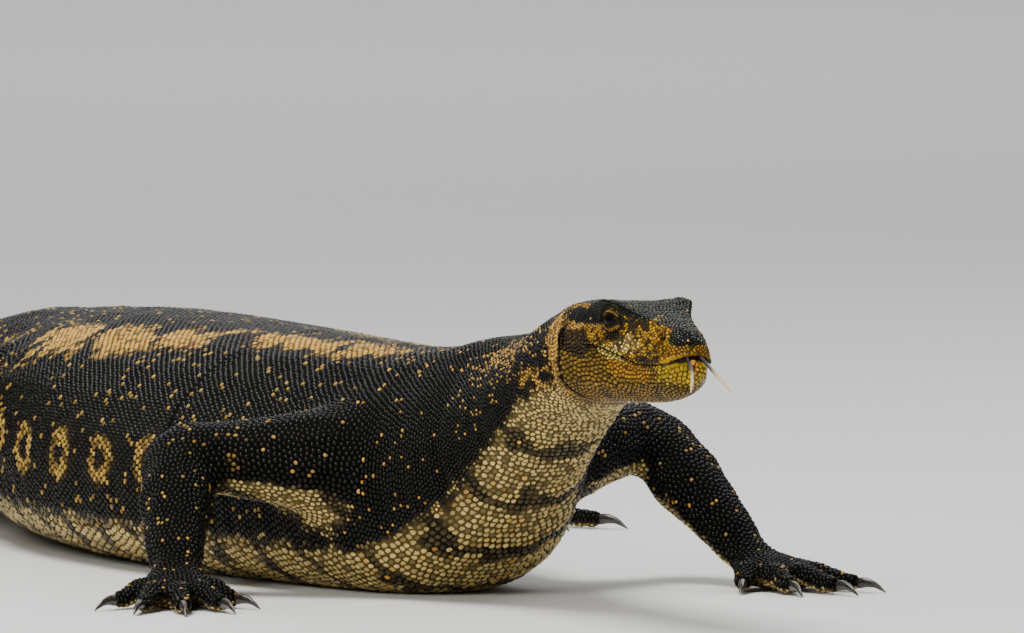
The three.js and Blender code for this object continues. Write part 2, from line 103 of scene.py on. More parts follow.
def curveThrough(keys):
    # A smooth curve through a few (place, value) keys that never overshoots them
    places, values = np.array(keys, float).T
    slopes = np.diff(values) / np.diff(places)
    before, after = slopes[:-1], slopes[1:]
    same = before * after > 0
    lean = np.concatenate([slopes[:1], np.zeros(len(before)), slopes[-1:]])
    lean[1:-1] = np.where(same, 2 * before * after / np.where(same, before + after, 1), 0)

    def at(where):
        where = np.clip(where, places[0], places[-1])
        i = np.clip(np.searchsorted(places, where, side="right") - 1, 0, len(slopes) - 1)
        span = places[i + 1] - places[i]
        t = (where - places[i]) / span
        blend = t * t * (3 - 2 * t)
        rise = t * (1 - t) ** 2 * span * lean[i]
        fall = t * t * (1 - t) * span * lean[i + 1]
        return values[i] * (1 - blend) + values[i + 1] * blend + rise - fall

    return at


headingDegrees = curveThrough(axisSettings["heading"])
axisStations = np.arange(axisSettings["start"], axisSettings["end"] + 1, axisSettings["step"], float)


def headingAt(stations):
    turn = np.radians(headingDegrees(np.asarray(stations, float)))
    return np.stack([np.cos(turn), np.sin(turn)], axis=-1)


axisLine = np.zeros((len(axisStations), 2))
axisLine[1:] = -np.cumsum(headingAt(axisStations[:-1] + axisSettings["step"] / 2), axis=0)
axisLine *= axisSettings["step"]
axisLine -= [np.interp(axisSettings["origin"], axisStations, axisLine[:, k]) for k in (0, 1)]
axisHeading = headingAt(axisStations)


def place(station, left, height):
    # Metres in the frame, from a station, how far left of the axis, and a height
    forward = headingAt(station)
    x = np.interp(station, axisStations, axisLine[:, 0]) - forward[..., 1] * left
    y = np.interp(station, axisStations, axisLine[:, 1]) + forward[..., 0] * left
    return np.stack([x, y, np.broadcast_to(height, np.shape(x))], axis=-1) * mm


def bodyPlace(points):
    # The other way round: [station, left, height] of each point
    flat = points[:, :2] / mm
    nearest = np.empty(len(flat), int)
    for start in range(0, len(flat), 8192):
        part = flat[start : start + 8192]
        nearest[start : start + 8192] = np.argmin(
            (part[:, None, 0] - axisLine[None, :, 0]) ** 2 + (part[:, None, 1] - axisLine[None, :, 1]) ** 2,
            axis=1,
        )
    step = flat - axisLine[nearest]
    forward = axisHeading[nearest]
    station = axisStations[nearest] - np.sum(step * forward, axis=1)
    left = step[:, 1] * forward[:, 0] - step[:, 0] * forward[:, 1]
    return np.stack([station, left, points[:, 2] / mm], axis=1)


# Small helpers


def unit(vectors):
    return vectors / np.maximum(np.linalg.norm(vectors, axis=-1, keepdims=True), 1e-12)


def rising(values, low, high):
    # From 0 at low to 1 at high, with soft ends
    t = np.clip((values - low) / (high - low), 0, 1)
    return t * t * (3 - 2 * t)


def falling(values, low, high):
    return 1 - rising(values, low, high)


def between(values, start, full, waning, end):
    return rising(values, start, full) * falling(values, waning, end)


def bump(values, centre, spread):
    return np.exp(-(((values - centre) / spread) ** 2))


def noiseAt(points, size, seed=0):
    # Smooth noise from about -1 to 1, with lumps of the given size in millimetres
    scaled = points / (size * mm) + np.array([3.1, 7.7, 1.3]) * seed
    return np.array([noise.noise(p) for p in scaled.tolist()])


def blankObject(name, mesh):
    made = bpy.data.objects.new(name, mesh)
    bpy.context.scene.collection.objects.link(made)
    return made


def vectorsOf(rows, name):
    flat = np.empty(len(rows) * 3, np.float32)
    rows.foreach_get(name, flat)
    return flat.reshape(-1, 3).astype(float)


def coordinatesOf(mesh):
    return vectorsOf(mesh.vertices, "co")


def normalsOf(mesh):
    return vectorsOf(mesh.vertex_normals, "vector")


def setCoordinates(mesh, coordinates):
    mesh.vertices.foreach_set("co", coordinates.astype(np.float32).ravel())
    mesh.update()


def edgeEnds(mesh):
    flat = np.empty(len(mesh.edges) * 2, int)
    mesh.edges.foreach_get("vertices", flat)
    return flat.reshape(-1, 2).T


def meshFrom(shell, name):
    mesh = bpy.data.meshes.new(name)
    shell.to_mesh(mesh)
    shell.free()
    return mesh


def shadeSmooth(mesh):
    mesh.polygons.foreach_set("use_smooth", np.ones(len(mesh.polygons), bool))


def onlyMaterial(mesh, material):
    mesh.materials.clear()
    mesh.materials.append(material)


def withModifier(mesh, kind, **values):
    # The mesh as one modifier leaves it
    holder = blankObject("holder", mesh)
    modifier = holder.modifiers.new(kind.lower(), kind)
    for name, value in values.items():
        setattr(modifier, name, value)
    graph = bpy.context.evaluated_depsgraph_get()
    made = bpy.data.meshes.new_from_object(holder.evaluated_get(graph))
    bpy.data.objects.remove(holder)
    return made


# Skin: copies of the solids of flesh, swollen over their gaps, made one closed surface, fine on
# the head and coarser behind it, then smoothed and let in by the depth of the scales

skinSettings = {
    "swell": 0.3,
    "headVoxel": 0.72,
    "bodyVoxel": 2.0,
    "headEnd": 127,
    "bodyStart": 129,
    "bodyKept": 0.28,
    "weld": 0.001,
    "letIn": 0.55,
    "smoothing": 9,
    "floorGap": 0.35,
}
trunkNodes = [
    "head", "lower_jaw", "neck", "chest", "abdomen", "pelvis",
    "tail_base", "tail_middle", "tail_rear", "tail_tip",
]
notFlesh = ("eye", "tongue", "claw")
fleshNodes = [name for name in sorted(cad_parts) if not any(word in name for word in notFlesh)]


def swollenCopy(names, swell):
    whole = bmesh.new()
    for name in names:
        piece = bmesh.new()
        piece.from_mesh(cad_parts[name].data)
        bmesh.ops.remove_doubles(piece, verts=piece.verts, dist=skinSettings["weld"] * mm)
        piece.normal_update()
        moves = [v.normal * min(v.calc_shell_factor(), 2) * swell * mm for v in piece.verts]
        for vertex, move in zip(piece.verts, moves):
            vertex.co += move
        mesh = meshFrom(piece, name + "_copy")
        whole.from_mesh(mesh)
        bpy.data.meshes.remove(mesh)
    return meshFrom(whole, "copies")


def remeshed(names, voxel, kept=1.0):
    mesh = swollenCopy(names, skinSettings["swell"])
    mesh = withModifier(mesh, "REMESH", mode="VOXEL", voxel_size=voxel * mm)
    if kept < 1:
        mesh = withModifier(mesh, "DECIMATE", ratio=kept)
    return mesh


def largestPart(mesh):
    # Drops the closed hollows and scraps beside the one big surface
    a, b = edgeEnds(mesh)
    label = np.arange(len(mesh.vertices))
    while True:
        low = np.minimum(label[a], label[b])
        fresh = label.copy()
        np.minimum.at(fresh, a, low)
        np.minimum.at(fresh, b, low)
        fresh = fresh[fresh]
        if np.array_equal(fresh, label):
            break
        label = fresh
    biggest = np.bincount(label).argmax()
    shell = bmesh.new()
    shell.from_mesh(mesh)
    loose = [v for v in shell.verts if label[v.index] != biggest]
    bmesh.ops.delete(shell, geom=loose, context="VERTS")
    return shell


def cutAcross(shell, station, keepFront):
    forward = headingAt(station)
    normal = Vector((forward[0], forward[1], 0)) * (-1 if keepFront else 1)
    geometry = shell.verts[:] + shell.edges[:] + shell.faces[:]
    point = Vector(place(station, 0, 0))
    bmesh.ops.bisect_plane(
        shell, geom=geometry, dist=1e-7, plane_co=point, plane_no=normal, clear_outer=True
    )


def neighboursOf(mesh, total):
    # Both ends of every edge, and how many neighbours each vertex has
    a, b = edgeEnds(mesh)
    return a, b, np.bincount(a, minlength=total) + np.bincount(b, minlength=total)


def meanOfNeighbours(points, a, b, count):
    mean = np.empty_like(points)
    for k in range(3):
        total = np.bincount(a, points[b, k], len(points)) + np.bincount(b, points[a, k], len(points))
        mean[:, k] = total / count
    return mean


def evened(mesh, steps):
    # Smooths a mesh without letting it shrink: one step in, a slightly longer one out
    points = coordinatesOf(mesh)
    a, b, count = neighboursOf(mesh, len(points))
    for factor in (0.5, -0.52) * steps:
        points += (meanOfNeighbours(points, a, b, count) - points) * factor
    setCoordinates(mesh, points)


def makeSkinMesh():
    front = largestPart(remeshed(["head", "lower_jaw", "neck"], skinSettings["headVoxel"]))
    cutAcross(front, skinSettings["headEnd"], True)
    rear = largestPart(remeshed(fleshNodes, skinSettings["bodyVoxel"], skinSettings["bodyKept"]))
    cutAcross(rear, skinSettings["bodyStart"], False)
    rear.from_mesh(meshFrom(front, "front"))
    rim = [edge for edge in rear.edges if edge.is_boundary]
    bmesh.ops.bridge_loops(rear, edges=rim)
    bmesh.ops.triangulate(rear, faces=rear.faces[:])
    bmesh.ops.recalc_face_normals(rear, faces=rear.faces[:])
    openEdges = sum(edge.is_boundary for edge in rear.edges)
    mesh = meshFrom(rear, "skin")
    evened(mesh, skinSettings["smoothing"])
    print("skin:", len(mesh.polygons), "triangles,", openEdges, "open edges")
    return mesh


skinMesh = makeSkinMesh()

# The head's own curves, as the solids have them: shares of its length against shares of its length

mouthLine = curveThrough([
    (0, -0.009), (0.02, -0.0155), (0.04, -0.0245), (0.06, -0.034), (0.15, -0.045), (0.26, -0.049),
    (0.34, -0.042), (0.4, -0.029), (0.5, -0.0118), (0.6, 0.0035), (0.68, 0.005), (0.78, -0.001),
    (0.87, -0.006), (1.2, -0.02),
])
eyeSettings = {
    "back": 61,
    "side": 13.6,
    "up": 11.8,
    "radius": 6.2,
    "turn": 22,
    "halfLong": 4.7,
    "halfHigh": 3.4,
    "lift": 0.3,
    "sunk": 1.5,
}
nostrilPlace = (16.3, 6.0)
jawFoldBack = 99.6
farOff = 9


def lipsHeight(back):
    return mouthLine(back / axisSettings["headLength"]) * axisSettings["headLength"]


def headPlace(where):
    # [back from the tip, out to either side, up from the lips] of points of the body
    return where[:, 0], np.abs(where[:, 1]), where[:, 2] - axisSettings["mouthHeight"]


def headPlaceOf(points):
    return headPlace(bodyPlace(points))


def overMouth(back, up):
    return up - lipsHeight(back)


def eyeReach(back, out, up):
    # How far out from the middle of the eye's opening, where the lids' edge is at 1
    turn = math.radians(eyeSettings["turn"])
    dBack, dOut = back - eyeSettings["back"], out - eyeSettings["side"]
    dUp = up - eyeSettings["up"] - eyeSettings["lift"]
    depth = dOut * math.cos(turn) - dBack * math.sin(turn)
    along = dBack * math.cos(turn) + dOut * math.sin(turn)
    reach = np.hypot(along / eyeSettings["halfLong"], dUp / eyeSettings["halfHigh"])
    return np.where(depth > eyeSettings["sunk"], reach, farOff)


def eyeCentre(side):
    height = eyeSettings["up"] + axisSettings["mouthHeight"]
    return place(eyeSettings["back"], side * eyeSettings["side"], height)


def nostrilReach(back, up, long, high):
    return np.hypot((back - nostrilPlace[0]) / long, (up - nostrilPlace[1]) / high)


def jawFold(back, up, width):
    # The fold down the side behind the jaw
    return bump(back - 0.12 * up, jawFoldBack, width)


def eyeFold(back, up, width):
    # The slanting fold before the eye
    return bump(back + 0.9 * (up - 6), 49, width)


def mouthMiddle(back):
    # Height of the middle of the gap that the tongue comes out of
    return np.interp(back, (0, 3, 9), (-1.2, -2.6, -4.4))


# Forms of the skin that the solids leave out: the groove of the mouth, lids, folds and wrinkles

formSettings = {
    "mouthEnd": 80,
    "mouthDepth": 1.1,
    "mouthHalf": 0.5,
    "lipRoll": 0.35,
    "slitEnd": 9,
    "slitHalf": 1.2,
    "slitDepth": 5,
    "lipsMeet": (-1.1, 1.5),
    "lidSquint": 0.16,
    "lidThick": 0.42,
    "lidGroove": 0.7,
    "lidRoll": 0.35,
    "cheekRidge": 0.8,
    "cheekHollow": 0.9,
    "jawFold": 0.9,
    "eyeFold": 0.45,
    "nostrilRim": 0.45,
    "nostrilDepth": 1.5,
    "crownLumps": (0.4, 0.3),
    "neckFold": 0.85,
    "neckPitch": 8.5,
    "flankFold": 0.7,
    "flankPitch": 17,
    "lumps": 0.7,
}


def slitHalf(back):
    return formSettings["slitHalf"] * falling(back, 1.5, formSettings["slitEnd"])


def shapeSkin(mesh, settings):
    points, normals = coordinatesOf(mesh), normalsOf(mesh)
    where = bodyPlace(points)
    back, out, up = headPlace(where)
    over = overMouth(back, up)
    side = rising(np.abs(normals[:, 1]), 0.2, 0.5)
    onHead = falling(back, 112, 126)

    lips = between(back, 2, 6, settings["mouthEnd"] - 4, settings["mouthEnd"])
    groove = -settings["mouthDepth"] * bump(over, 0, settings["mouthHalf"])
    roll = settings["lipRoll"] * (bump(over, 1.9, 1.1) + bump(over, -1.9, 1.1))
    move = lips * side * (groove + roll)

    reach = eyeReach(back, out, up)
    move -= settings["lidGroove"] * bump(reach, 1.66, 0.15)
    move += settings["lidRoll"] * bump(reach, 2.0, 0.18)

    # Behind the eye a ridge over a hollow, then the folds and the nostril
    ridge = bump(up, np.interp(back, (64, 77, 90, 103), (8.1, 10, 5.4, -0.9)) + 1.2, 1.7)
    move += settings["cheekRidge"] * ridge * rising(back, 62, 72) * falling(back, 98, 106) * side
    move -= settings["cheekHollow"] * bump(back, 87, 9) * bump(up, 1, 3.4) * side
    move -= settings["jawFold"] * jawFold(back, up, 0.9) * rising(-up, -3, 2) * falling(-up, 22, 28) * onHead
    move -= settings["eyeFold"] * eyeFold(back, up, 0.9) * bump(up, 6, 3.2) * side
    hole = nostrilReach(back, up, 2.6, 1.8)
    nostril = settings["nostrilRim"] * bump(hole, 1.5, 0.4)
    nostril -= settings["nostrilDepth"] * bump(hole, 0, 0.85)
    move += side * nostril * (back < 30)

    crown = rising(normals[:, 2], 0.3, 0.6) * rising(over, 5, 9) * falling(back, 70, 100)
    coarse, small = settings["crownLumps"]
    move += crown * (coarse * noiseAt(points, 4.2, 13) + small * noiseAt(points, 2.2, 14))

    warp = noiseAt(points, 26, 1)
    neck = between(back, 106, 122, 240, 300)
    lower = rising(-normals[:, 2], -0.55, 0.35)
    phase = back / settings["neckPitch"] + 0.75 * warp + 0.012 * up
    crest = 1 - np.abs(np.sin(math.pi * phase)) ** 0.7 * 1.6
    move += neck * settings["neckFold"] * crest * (0.25 + 0.75 * lower) * (0.6 + 0.5 * noiseAt(points, 15, 2))

    trunk = between(back, 250, 300, 720, 790)
    flank = np.clip(1 - np.abs(normals[:, 2]), 0, 1)
    phase = back / settings["flankPitch"] + 1.1 * noiseAt(points, 45, 3)
    move += trunk * flank * settings["flankFold"] * np.sin(2 * math.pi * phase) * (0.7 + 0.6 * warp)
    body = rising(back, 126, 170)
    move += body * settings["lumps"] * noiseAt(points, 19, 4) * rising(where[:, 2], 4, 22)

    # The slit that the tongue comes out of goes in behind the lips, which close in on it
    middle = mouthMiddle(back)
    half = np.maximum(slitHalf(back), 0.01)
    inSlit = falling(np.abs(up - middle), half * 0.75, half * 1.15) * (back < settings["slitEnd"])
    moved = points + normals * (move - skinSettings["letIn"])[:, None] * mm
    inward = np.stack([-np.ones(len(points)), -0.45 * np.sign(points[:, 1]), 0 * up], axis=1)
    moved += inward * (inSlit * settings["slitDepth"] * mm)[:, None]
    apart = up - middle
    near = falling(back, 9, 16) * falling(np.abs(apart), 3, 6)
    moved[:, 2] += near * np.where(apart > 0, *settings["lipsMeet"]) * rising(np.abs(apart), 0, 0.6) * mm
    moved[:, 2] = np.maximum(moved[:, 2], skinSettings["floorGap"] * mm)
    closeLids(moved, normals, where, reach, settings)
    setCoordinates(mesh, moved)


def closeLids(points, normals, where, reach, settings):
    # Brings the lids nearer to each other, lying on the ball of the eye with a rounded edge
    radius = eyeSettings["radius"]
    squint = settings["lidSquint"] * falling(reach, 1.05, 2.1)
    lift = where[:, 2] - axisSettings["mouthHeight"] - eyeSettings["up"] - eyeSettings["lift"]
    points[:, 2] -= np.where(reach < farOff, squint * lift, 0) * mm
    for side in (-1, 1):
        away = (points - eyeCentre(side)) / mm
        distance = np.linalg.norm(away, axis=1)
        mine = (where[:, 1] * side > 0) & (reach < 2.1)
        outer = np.sum(unit(away) * normals, axis=1) > 0.25
        lid = radius + settings["lidThick"] * (1 - 0.5 * rising(reach, 1.25, 1.7))
        target = np.where(outer, np.maximum(distance, lid), np.minimum(distance, radius - 0.4))
        target = np.where(reach < 1.3, np.where(outer, lid, target), target)
        points[mine] += (unit(away) * (target - distance)[:, None] * mm)[mine]


def treeOfNodes(names):
    shell = bmesh.new()
    for name in names:
        shell.from_mesh(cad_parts[name].data)
    tree = BVHTree.FromBMesh(shell)
    shell.free()
    return tree


def nodesWith(*words):
    return [name for name in fleshNodes if any(word in name for word in words)]


trunkTree = treeOfNodes(trunkNodes)
legsFrom = 180
limbWords = [("upper_arm", "thigh"), ("forearm", "shank"), ("hand", "foot")]
limbTrees = [treeOfNodes(nodesWith(*words)) for words in limbWords]
joinSettings = [(15, 60), (8, 25), (8, 25)]  # how far each join is rounded, and in how many steps


def softenJoins(mesh, one, other, reach, steps):
    # Rounds off the corners where two solids of the flesh meet
    points = coordinatesOf(mesh)
    share = np.zeros(len(points))
    station = bodyPlace(points)[:, 0]
    for i in np.flatnonzero(station > legsFrom).tolist():
        toOne = one.find_nearest(points[i].tolist(), reach * mm)[3]
        if toOne is None:
            continue
        toOther = other.find_nearest(points[i].tolist(), reach * mm)[3]
        if toOther is not None:
            share[i] = 1 - max(toOne, toOther) / (reach * mm)
    share = rising(share, 0, 0.5)[:, None]
    a, b, count = neighboursOf(mesh, len(points))
    for _ in range(steps):
        points += (meanOfNeighbours(points, a, b, count) - points) * 0.6 * share
    setCoordinates(mesh, points)


for inner, outer, (reach, steps) in zip([trunkTree] + limbTrees, limbTrees, joinSettings):
    softenJoins(skinMesh, inner, outer, reach, steps)
shapeSkin(skinMesh, formSettings)
shadeSmooth(skinMesh)
skin = blankObject("skin", skinMesh)
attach(skin, "root")
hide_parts(*fleshNodes)
print("skin shaped")

# The finished skin as numbers, and a tree over it, to set the scales by

skinPoints = coordinatesOf(skinMesh)
skinNormals = normalsOf(skinMesh)
triangles = np.empty(len(skinMesh.polygons) * 3, int)
skinMesh.polygons.foreach_get("vertices", triangles)
triangles = triangles.reshape(-1, 3)
faceNormals = unit(skinNormals[triangles].sum(axis=1))
skinTree = BVHTree.FromPolygons([Vector(p) for p in skinPoints.tolist()], triangles.tolist())


def ontoSkin(points, within=0.01):
    # The nearest points of the skin, their normals, and which lie within reach
    places, normals = np.array(points), np.zeros((len(points), 3))
    found = np.zeros(len(points), bool)
    for i, point in enumerate(points.tolist()):
        hit, _, face, _ = skinTree.find_nearest(point, within)
        if face is not None:
            places[i], normals[i], found[i] = hit, faceNormals[face], True
    return places, normals, found


# Scales of the neck, trunk and tail, in rows across the body

rowSettings = {
    "start": 125.5,
    "end": 1990,
    "rays": 72,
    "jitter": curveThrough([(120, 0.24), (260, 0.2), (420, 0.09), (2000, 0.09)]),
    "bellyNormal": -0.5,
    "lengths": curveThrough([
        (120, 1.6), (200, 1.7), (260, 2.0), (330, 2.5), (600, 2.8), (1000, 3.3), (1500, 3.3), (2000, 2.4),
    ]),
    "widths": curveThrough([
        (120, 1.8), (200, 1.9), (260, 2.3), (330, 2.9), (600, 3.3), (1000, 2.9), (1500, 2.5), (2000, 1.6),
    ]),
    "bellyLengths": curveThrough([(120, 2.3), (300, 3.8), (700, 4.4), (1000, 4.2), (2000, 2.6)]),
    "bellyWidths": curveThrough([(120, 2.5), (300, 3.3), (700, 3.5), (1000, 2.8), (2000, 1.5)]),
    "tailStart": 840,
}


def rowOfHits(station, middle, halfTurns):
    # Points round one section of the body, from the top round by the left
    forward = headingAt(station)
    sideways = np.array([-forward[1], forward[0], 0])
    centre = place(station, 0, middle)
    hits = []
    for turn in halfTurns:
        direction = sideways * math.sin(turn) + np.array([0, 0, math.cos(turn)])
        hit, _, _, _ = trunkTree.ray_cast(Vector(centre), Vector(direction), 0.3)
        if hit is None:
            return None
        hits.append(hit)
    return np.array(hits)


def growRows(settings, belly):
    turns = np.linspace(0, 2 * math.pi, settings["rays"] + 1)
    lengths = settings["bellyLengths" if belly else "lengths"]
    widths = settings["bellyWidths" if belly else "widths"]
    station, number = settings["start"], 0
    last = settings["tailStart"] if belly else settings["end"]
    points, sizes, around = [], [], []
    while station < last:
        top = trunkTree.ray_cast(Vector(place(station, 0, 400)), Vector((0, 0, -1)))[0]
        bottom = trunkTree.ray_cast(Vector(place(station, 0, -100)), Vector((0, 0, 1)))[0]
        hits = None
        if top is not None and bottom is not None:
            middle = (top.z + bottom.z) / 2 / mm
            hits = rowOfHits(station, middle, turns)
        long, wide, jitter = (float(curve(station)) for curve in (lengths, widths, settings["jitter"]))
        if hits is not None:
            steps = np.linalg.norm(np.diff(hits, axis=0), axis=1) / mm
            run = np.concatenate([[0], np.cumsum(steps)])
            count = max(4, round(run[-1] / wide))
            at = (np.arange(count) + 0.5 * (number % 2)) * run[-1] / count
            at += random.uniform(-1, 1, count) * jitter * wide
            at %= run[-1]
            row = np.stack([np.interp(at, run, hits[:, k]) for k in range(3)], axis=1)
            forward = headingAt(station)
            row[:, :2] += forward * (random.uniform(-1, 1, (count, 1)) * jitter * long * mm)
            points.append(row)
            sizes.append(np.tile([long, wide], (count, 1)))
            around.append(at / run[-1])
        station += long
        number += 1
    return np.concatenate(points), np.concatenate(sizes), np.concatenate(around)


def rowSeeds(settings):
    parts = []
    for belly in (False, True):
        points, sizes, around = growRows(settings, belly)
        places, normals, found = ontoSkin(points, 0.0028)
        station = bodyPlace(places)[:, 0]
        under = (normals[:, 2] < settings["bellyNormal"]) & (station < settings["tailStart"])
        kept = found & (under == belly)
        parts.append((places[kept], normals[kept], sizes[kept], around[kept]))
    return [np.concatenate(column) for column in zip(*parts)]


rows = rowSeeds(rowSettings)
print("rows:", len(rows[0]), "scales")

# Legs, as steps from the girdle: forward, outward and height over the floor

legSettings = {
    "foreleg_right": {
        "station": 302, "side": -1, "joints": [(0, 50, 60), (-44, 112, 62), (10, 139, 15)],
        "pointing": 24, "foot": 74,
    },
    "foreleg_left": {
        "station": 302, "side": 1, "joints": [(0, 50, 60), (-30, 118, 66), (30, 136, 15)],
        "pointing": 14, "foot": 74,
    },
    "hindleg_right": {
        "station": 728, "side": -1, "joints": [(2, 42, 56), (42, 128, 66), (-28, 166, 17)],
        "pointing": 34, "foot": 104,
    },
    "hindleg_left": {
        "station": 728, "side": 1, "joints": [(2, 42, 56), (56, 120, 66), (-12, 168, 17)],
        "pointing": 26, "foot": 104,
    },
}


toeSettings = {"height": 6, "hub": 4, "widest": 0.13}


def legLines():
    # Three lengths of each leg: its ends, and 0 for the upper one, 1 for the lower, 2 for the foot
    lines = []
    for leg in legSettings.values():
        station, side = leg["station"], leg["side"]
        joints = [place(station - ahead, side * outward, height) for ahead, outward, height in leg["joints"]]
        forward = headingAt(station)
        turn = math.radians(leg["pointing"]) * side
        pointing = np.array([
            forward[0] * math.cos(turn) - forward[1] * math.sin(turn),
            forward[0] * math.sin(turn) + forward[1] * math.cos(turn),
            0,
        ])
        toes = joints[2] + pointing * leg["foot"] * mm
        toes[2] = toeSettings["height"] * mm
        lines += [(joints[0], joints[1], 0), (joints[1], joints[2], 1), (joints[2], toes, 2)]
    return lines


legParts = legLines()


def legPlace(points):
    # For each point its nearest length of leg, the way along it there, and a place on its unwrap
    distance = np.empty((len(points), len(legParts)))
    share = np.empty_like(distance)
    for k, (a, b, _) in enumerate(legParts):
        t = np.clip(((points - a) @ (b - a)) / np.sum((b - a) ** 2), 0, 1)
        share[:, k] = t
        distance[:, k] = np.linalg.norm(points - a - t[:, None] * (b - a), axis=1)
    part = distance.argmin(axis=1)
    along, across = np.empty((len(points), 3)), np.empty(len(points))
    t = share[np.arange(len(points)), part]
    for k, (a, b, length) in enumerate(legParts):
        mine = part == k
        line = unit(b - a)
        if length == 2:
            # Toes spread from a point a little behind the wrist
            hub = a - line * toeSettings["hub"] * mm
            fan = points[mine] - hub
            fan[:, 2] = 0
            blend = rising(t[mine], 0.3, 0.5)[:, None]
            along[mine] = unit(unit(fan) * blend + line * (1 - blend))
            sideways = np.cross(line, (0, 0, 1))
            across[mine] = 0.5 + ((points[mine] - a) @ sideways) / toeSettings["widest"]
        else:
            along[mine] = line
            sideways = unit(np.cross(line, (0, 0, 1)))
            over = np.cross(sideways, line)
            offset = points[mine] - a
            across[mine] = np.arctan2(offset @ sideways, offset @ over) / (2 * math.pi) + 0.5
    return part, t, along, across


# Scales of the head and legs: strewn over the skin by size, then pushed apart until even

strewnSettings = {
    "headEnd": 124,
    "offTrunk": 2.2,
    "steps": 12,
    "push": 0.5,
    "room": 1.12,
    "fill": 0.93,
    "neighbours": 8,
    "cavity": 3.5,
    "rowsTo": 140,
    "lidClear": 1.32,
    "mouthClear": (11, 2.3),
    "nostrilClear": 0.9,
}


def headScaleSizes(where, normals):
    # [length, width] of the scales of the head
    back, out, up = headPlace(where)
    over = overMouth(back, up)
    side = rising(np.abs(normals[:, 1]), 0.25, 0.6)
    top = rising(normals[:, 2], 0.35, 0.7)
    long = np.full(len(back), 1.95)
    wide = np.full(len(back), 1.6)

    def lay(mask, newLong, newWide):
        nonlocal long, wide
        long = long * (1 - mask) + newLong * mask
        wide = wide * (1 - mask) + newWide * mask

    lay(top * falling(back, 45, 60), 2.1, 1.8)
    lay(top * rising(back, 45, 60), 1.9, 1.6)
    lay(side * rising(over, 2, 4) * rising(back, 60, 70), 1.75, 1.4)
    jaw = rising(-over, 0.5, 2)
    lay(jaw * rising(back, 14, 30), 3.3, 2.2)
    lay(jaw * side * rising(back, 50, 64), 3.9, 2.5)
    lay(jaw * falling(back, 14, 24), 3.0, 2.5)
    lay(falling(back, 14, 26) * rising(over, 1, 2.5) * (1 - top), 1.7, 1.45)
    lay(rising(-normals[:, 2], 0.5, 0.8), 2.5, 1.7)
    lay(rising(back, 100, 112), 2.0, 1.7)
    lay(bump(eyeReach(back, out, up), 1.3, 0.5), 1.3, 1.05)
    return long, wide


def legScaleSizes(part, t, normals):
    # [length, width] of the scales of the legs
    length = np.array([line[2] for line in legParts])[part]
    long = np.choose(length, [2.9, 2.6, 2.3])
    wide = np.choose(length, [2.6, 2.4, 2.2])
    toes = (length == 2) * rising(t, 0.3, 0.5)
    long, wide = long * (1 - 0.1 * toes), wide * (1 + 0.12 * toes)
    sole = rising(-normals[:, 2], 0.3, 0.8) * (length == 2)
    return long + 0.3 * sole, wide + 0.4 * sole


def strewOn(chosen, sizesOf):
    # Random points on the chosen triangles of the skin, as many as have room
    a, b, c = (skinPoints[triangles[chosen, k]] for k in range(3))
    area = np.linalg.norm(np.cross(b - a, c - a), axis=1) / 2 / mm**2
    middle = (a + b + c) / 3
    long, wide = sizesOf(middle, faceNormals[chosen])
    share = area / (long * wide * strewnSettings["fill"])
    count = int(share.sum())
    drawn = (np.arange(count) + random.random(count)) / count
    picked = np.minimum(np.searchsorted(np.cumsum(share) / share.sum(), drawn), len(chosen) - 1)
    u, v = random.random((2, count, 1))
    flip = u + v > 1
    u, v = np.where(flip, 1 - u, u), np.where(flip, 1 - v, v)
    points = a[picked] + u * (b - a)[picked] + v * (c - a)[picked]
    return points, faceNormals[chosen[picked]]


def nearestOf(points, count):
    tree = kdtree.KDTree(len(points))
    for i, point in enumerate(points.tolist()):
        tree.insert(point, i)
    tree.balance()
    found = np.empty((len(points), count), int)
    for i, point in enumerate(points.tolist()):
        found[i] = [hit[1] for hit in tree.find_n(point, count + 1)][1:]
    return found


def layFlat(way, normals):
    # Directions turned into the plane of the skin, and those across them
    way = unit(way - normals * np.sum(way * normals, axis=1, keepdims=True))
    return way, np.cross(normals, way)


def inOwnSizes(steps, way, across, long, wide):
    # Steps to the neighbours of each scale, in its own lengths and widths
    x = np.einsum("nkd,nd->nk", steps, way) / long[:, None]
    y = np.einsum("nkd,nd->nk", steps, across) / wide[:, None]
    return x, y


def pushApart(points, normals, sizesOf, wayOf, fixed, settings):
    # Evens out strewn points on the skin, round fixed ones that stay, each in its own shape
    for _ in range(settings["steps"]):
        every = np.concatenate([points, fixed])
        near = nearestOf(every, settings["neighbours"])[: len(points)]
        long, wide = sizesOf(points, normals)
        way, across = layFlat(wayOf(points), normals)
        x, y = inOwnSizes((points[:, None] - every[near]) / mm, way, across, long, wide)
        distance = np.maximum(np.hypot(x, y), 1e-3)
        force = np.clip(1 - distance / settings["room"], 0, 1) / distance * settings["push"]
        push = way * ((x * force).sum(axis=1) * long)[:, None]
        push += across * ((y * force).sum(axis=1) * wide)[:, None]
        points, normals, _ = ontoSkin(points + push * mm, 0.02)
    return points, normals


def wayBack(points):
    forward = headingAt(bodyPlace(points)[:, 0])
    return -np.stack([forward[:, 0], forward[:, 1], np.zeros(len(points))], axis=1)


def legWay(points):
    return legPlace(points)[2]


# Scales of the head that lie in rows of their own: along both lips, and round each eye

lipSettings = {"from": 9, "to": 79, "over": 1.35, "under": 1.5, "step": 2.7}
lidSettings = {"reach": 1.4, "squint": 0.86, "count": 31}


def firstHit(start, target):
    return skinTree.ray_cast(Vector(start), Vector(target - start).normalized())[0]


